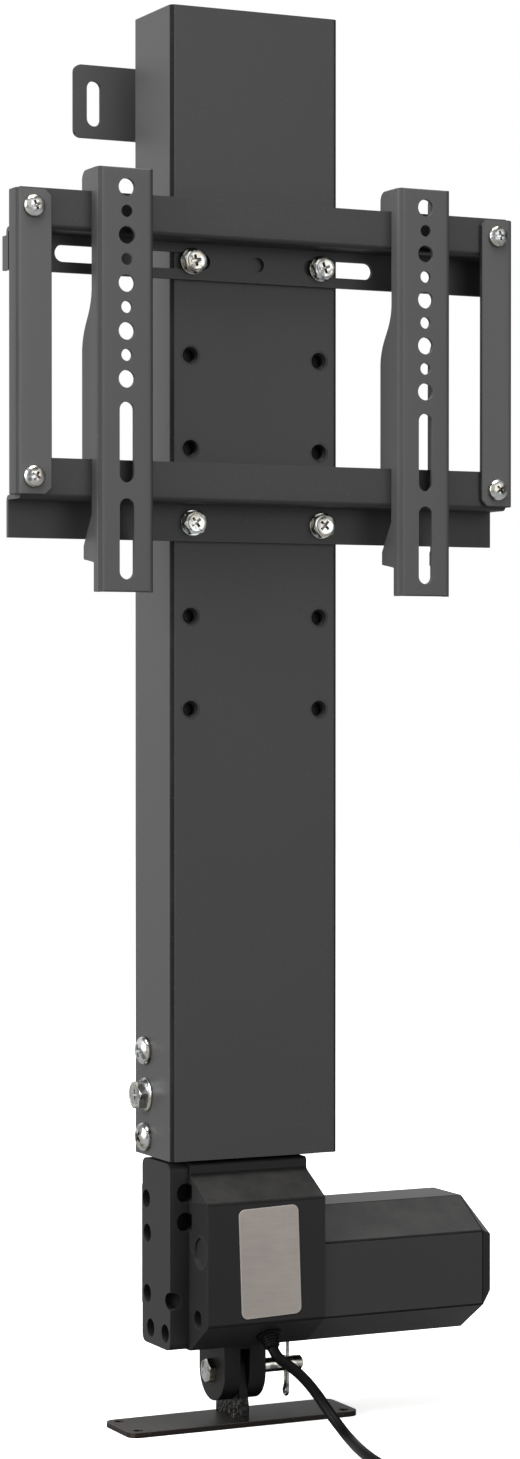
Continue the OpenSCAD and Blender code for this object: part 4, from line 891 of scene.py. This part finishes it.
def plugMesh():
    r, out, length, ribs = cableRoute["diameter"] / 2, cableRoute["plugRadius"], plugKind["length"], plugKind["ribs"]
    profile = [(0, 0), (r + 0.35, 0), (r + 0.5, 0.3)]
    for i in range(ribs):
        z = 0.8 + i * plugKind["ribStep"]
        w = r + 0.6 + (out - 2.6 - r) * i / (ribs - 1)
        profile += [(w, z), (w + 0.2, z + 0.85), (w - 0.35, z + 0.95), (w - 0.3, z + 1.45)]
    profile += [(out - 1.6, 9), (out - 0.3, 10.6), (out, 11.2), (out, 23.4), (out - 0.4, 24), (out - 1, 24.4),
                (out - 1, length - 0.5), (out - 1.4, length), (out - 1.9, length), (out - 2, length - 0.4),
                (out - 2, length - plugKind["socket"]), (0, length - plugKind["socket"])]
    grips = bmesh.new()
    for i in range(plugKind["grips"]):
        rib = bmesh.ops.create_cube(grips, size=1)["verts"]
        bmesh.ops.scale(grips, vec=(0.5, 0.7, 10), verts=rib)
        bmesh.ops.translate(grips, verts=rib, vec=(out - 0.2, 0, 17.3))
        turn = Matrix.Rotation(2 * math.pi * i / plugKind["grips"], 3, "Z")
        bmesh.ops.rotate(grips, verts=rib, cent=(0, 0, 0), matrix=turn)
    return joined(lathe(profile), grips)


def plugPins():
    length, circle = plugKind["length"], plugKind["pinCircle"]
    pins = []
    for i in range(plugKind["pins"]):
        a = 2 * math.pi * i / plugKind["pins"] + math.pi / 4
        pin = lathe([(0, length - plugKind["socket"]), (0.75, length - plugKind["socket"]), (0.75, length - 1.6),
                     (0.45, length - 0.8), (0, length - 0.7)], 16)
        bmesh.ops.translate(pin, verts=pin.verts, vec=(circle * math.cos(a), circle * math.sin(a), 0))
        pins.append(pin)
    return joined(*pins)


low, high = boxOf("cable_plug")
plugPlace = placed(high.x, (low.y + high.y) / 2, (low.z + high.z) / 2, "left")
plugPiece = pieceFrom(repeated(plugMesh(), [plugPlace]), "cablePlug", "base", "cable_moulding",
                      replaced=("cable_plug",))
pinsPiece = pieceFrom(repeated(plugPins(), [plugPlace]), "cablePlugPins", "base", "brass")

print("gland and plug made")

# Softened edges: a copy of a CAD node with its true edges rounded

softRules = {"merge": 0.002, "flat": 0.6, "sharp": 32, "smooth": 28}      # millimetres, and degrees
softEdges = {"gearbox_case": 0.6, "side_block": 0.7, "motor_housing": 0.7, "motor_end_cap": 0.7, "foot_plate": 0.5,
             "foot_tongue": 0.4, "hinge_fork": 0.8, "rear_bracket": 0.35, "upper_rail": 0.3, "lower_rail": 0.3,
             "left_bar": 0.45, "right_bar": 0.45, "left_arm": 0.35, "right_arm": 0.35, "outer_column": 0.3,
             "top_cap": 0.4}
plainStrips = ("left_bar", "right_bar")      # nothing narrow on them, so their edges take the full round
foldStrips = {"motor_housing": 1.0, "gearbox_case": 1.0}
armOutline = {"topRadius": 5, "stepFrom": 64, "stepLength": 18, "seat": 0.3, "blend": 7, "cut": 1.6}


def smoothArm(bm, node):      # rounds the upper corner of the flanges and the step of their back edge
    radius, blend, length = armOutline["topRadius"], armOutline["blend"], armOutline["stepLength"]
    high = boxOf(node)[1]
    narrowY = boxOf("lower_rail")[0].y - armOutline["seat"]
    stepZ = boxOf("lower_rail")[1].z + armOutline["seat"] + armOutline["stepFrom"]
    cuts = [high.z - radius * (1 - math.cos(math.pi / 16 * k)) for k in range(1, 9)]
    cuts += [stepZ - blend + armOutline["cut"] * k for k in range(int((length + 2 * blend) / armOutline["cut"]) + 1)]
    for z in cuts:
        bmesh.ops.bisect_plane(bm, geom=bm.verts[:] + bm.edges[:] + bm.faces[:], dist=1e-4, plane_co=(0, 0, z),
                               plane_no=(0, 0, 1))

    def depthAt(z):
        return (high.y - narrowY) * min(max((z - stepZ) / length, 0), 1)

    for v in bm.verts:
        if v.co.y < narrowY - 0.9:
            continue
        if stepZ - blend < v.co.z < stepZ + length + blend:
            v.co.y = high.y - sum(depthAt(v.co.z + blend * k / 8) for k in range(-8, 9)) / 17
        elif v.co.z > high.z - radius:
            rise = v.co.z - high.z + radius
            v.co.y = min(v.co.y, high.y - radius + math.sqrt(max(radius ** 2 - rise ** 2, 0)))
    bmesh.ops.dissolve_limit(bm, angle_limit=math.radians(softRules["flat"]), verts=bm.verts, edges=bm.edges)


def softened(node, width, strip):
    source = nodes[node]
    bm = bmesh.new()
    bm.from_mesh(source.data)
    bmesh.ops.scale(bm, vec=(1 / mm, 1 / mm, 1 / mm), verts=bm.verts)
    bmesh.ops.remove_doubles(bm, verts=bm.verts, dist=softRules["merge"])
    bmesh.ops.dissolve_limit(bm, angle_limit=math.radians(softRules["flat"]), verts=bm.verts, edges=bm.edges)
    if node in ("left_arm", "right_arm"):
        smoothArm(bm, node)
    least = math.radians(softRules["sharp"])
    sharp = [e for e in bm.edges if len(e.link_faces) == 2 and e.calc_face_angle(0) > least]
    seam = bm.faces.layers.float.new("seam")
    rounded = bmesh.ops.bevel(bm, geom=sharp, offset=width, offset_type="OFFSET", affect="EDGES", segments=2,
                              profile=0.5, clamp_overlap=node not in plainStrips, material=-1)["faces"]
    # the rounded faces are marked for the painted fold line: painted shade, and a painted highlight on the foot plate
    for face in rounded:
        face[seam] = 1.0
    for face in bm.faces if strip else ():      # the narrow faces of a modelled fold take the painted fold shade too
        lengths = [e.calc_length() for e in face.edges]
        if min(lengths) < strip and max(lengths) > 12 * strip:
            face[seam] = 1.0
    bmesh.ops.triangulate(bm, faces=[f for f in bm.faces if len(f.verts) > 4])
    pieceFrom(bm, camelName(node), source["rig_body"], slotOfNode[node], smoothAngle=softRules["smooth"],
              replaced=(node,), finish=paintOfNode.get(node))


for node, width in softEdges.items():
    softened(node, width, foldStrips.get(node, 0.0))
print("edges softened on", len(softEdges), "nodes")

# Floor, lights and background

studio = {
    "floor": 6.0, "floorColour": "f4f4f2", "floorGlow": 0.66, "floorGloss": 0.25, "floorDim": 0.09,
    "lamps": [
        {"name": "leftBox", "place": (-2.6, -0.1, 1.2), "aim": (0, 0, 0.4), "size": 2.0, "power": 100},
        {"name": "frontBox", "place": (0.9, -3.3, 1.2), "aim": (0, 0, 0.35), "size": 2.4, "power": 22},
        {"name": "topBox", "place": (-0.3, -0.7, 3.0), "aim": (0, 0, 0.3), "size": 1.8, "power": 80},
    ],
    "ambient": 0.4, "flags": [("X", 0.68, 0.78, 1.06, 0.98), ("Z", 0.6, 0.68, 0.95, 0.86)], "flagDepth": 0.8,
}

floorMesh = bmesh.new()
bmesh.ops.create_grid(floorMesh, x_segments=1, y_segments=1, size=studio["floor"])
floorData = bpy.data.meshes.new("floor")
floorMesh.to_mesh(floorData)
floorMesh.free()
floor = bpy.data.objects.new("floor", floorData)
scene.collection.objects.link(floor)


def floorMaterial():
    material = bpy.data.materials.new("paleFloor")
    material.use_nodes = True
    tree = material.node_tree
    tree.nodes.clear()
    output = tree.nodes.new("ShaderNodeOutputMaterial")
    shader = tree.nodes.new("ShaderNodeBsdfDiffuse")
    shader.inputs["Color"].default_value = linear(studio["floorColour"])
    glow = tree.nodes.new("ShaderNodeEmission")
    glow.inputs["Strength"].default_value = studio["floorGlow"]
    both = tree.nodes.new("ShaderNodeAddShader")
    tree.links.new(shader.outputs["BSDF"], both.inputs[0])
    tree.links.new(glow.outputs["Emission"], both.inputs[1])
    path = tree.nodes.new("ShaderNodeLightPath")
    seen = mathNode(tree, "ADD", path.outputs["Is Camera Ray"],
                    times(tree, path.outputs["Is Glossy Ray"], studio["floorGloss"]), clamp=True)
    choose = tree.nodes.new("ShaderNodeMixShader")
    dim = tree.nodes.new("ShaderNodeBsdfDiffuse")
    dim.inputs["Color"].default_value = (studio["floorDim"],) * 3 + (1,)
    tree.links.new(seen, choose.inputs["Fac"])
    tree.links.new(dim.outputs["BSDF"], choose.inputs[1])
    tree.links.new(both.outputs["Shader"], choose.inputs[2])
    tree.links.new(choose.outputs["Shader"], output.inputs["Surface"])
    return material


floorData.materials.append(floorMaterial())

for lamp in studio["lamps"]:
    data = bpy.data.lights.new(lamp["name"], "AREA")
    data.shape = "SQUARE"
    data.size = lamp["size"]
    data.energy = lamp["power"]
    box = bpy.data.objects.new(lamp["name"], data)
    box.location = lamp["place"]
    box.rotation_euler = (Vector(lamp["aim"]) - Vector(lamp["place"])).to_track_quat("-Z", "Y").to_euler()
    scene.collection.objects.link(box)

world = bpy.data.worlds.new("whiteStudio")
scene.world = world
world.use_nodes = True
tree = world.node_tree
tree.nodes.clear()
output = tree.nodes.new("ShaderNodeOutputWorld")
background = tree.nodes.new("ShaderNodeBackground")
path = tree.nodes.new("ShaderNodeLightPath")
seen = mathNode(tree, "MAXIMUM", path.outputs["Is Camera Ray"],
                mathNode(tree, "MAXIMUM", path.outputs["Is Glossy Ray"], path.outputs["Is Transmission Ray"]))
background.inputs["Color"].default_value = (1, 1, 1, 1)
sky = tree.nodes.new("ShaderNodeTexCoord")
way = tree.nodes.new("ShaderNodeSeparateXYZ")
tree.links.new(sky.outputs["Generated"], way.inputs["Vector"])
flags = None
for axis, start, full, end, fade in studio["flags"]:      # dark cards that only reflections show
    card = times(tree, rangeNode(tree, way.outputs[axis], start, full), rangeNode(tree, way.outputs[axis], end, fade))
    flags = mathNode(tree, "MAXIMUM", flags, card) if flags else card
shown = times(tree, times(tree, flags, studio["flagDepth"]), path.outputs["Is Glossy Ray"])
strength = mathNode(tree, "ADD", times(tree, seen, 1.0 - studio["ambient"]), studio["ambient"])
tree.links.new(mathNode(tree, "SUBTRACT", strength, shown, clamp=True), background.inputs["Strength"])
tree.links.new(background.outputs["Background"], output.inputs["Surface"])
scene.view_settings.view_transform = "Standard"
print("studio set")
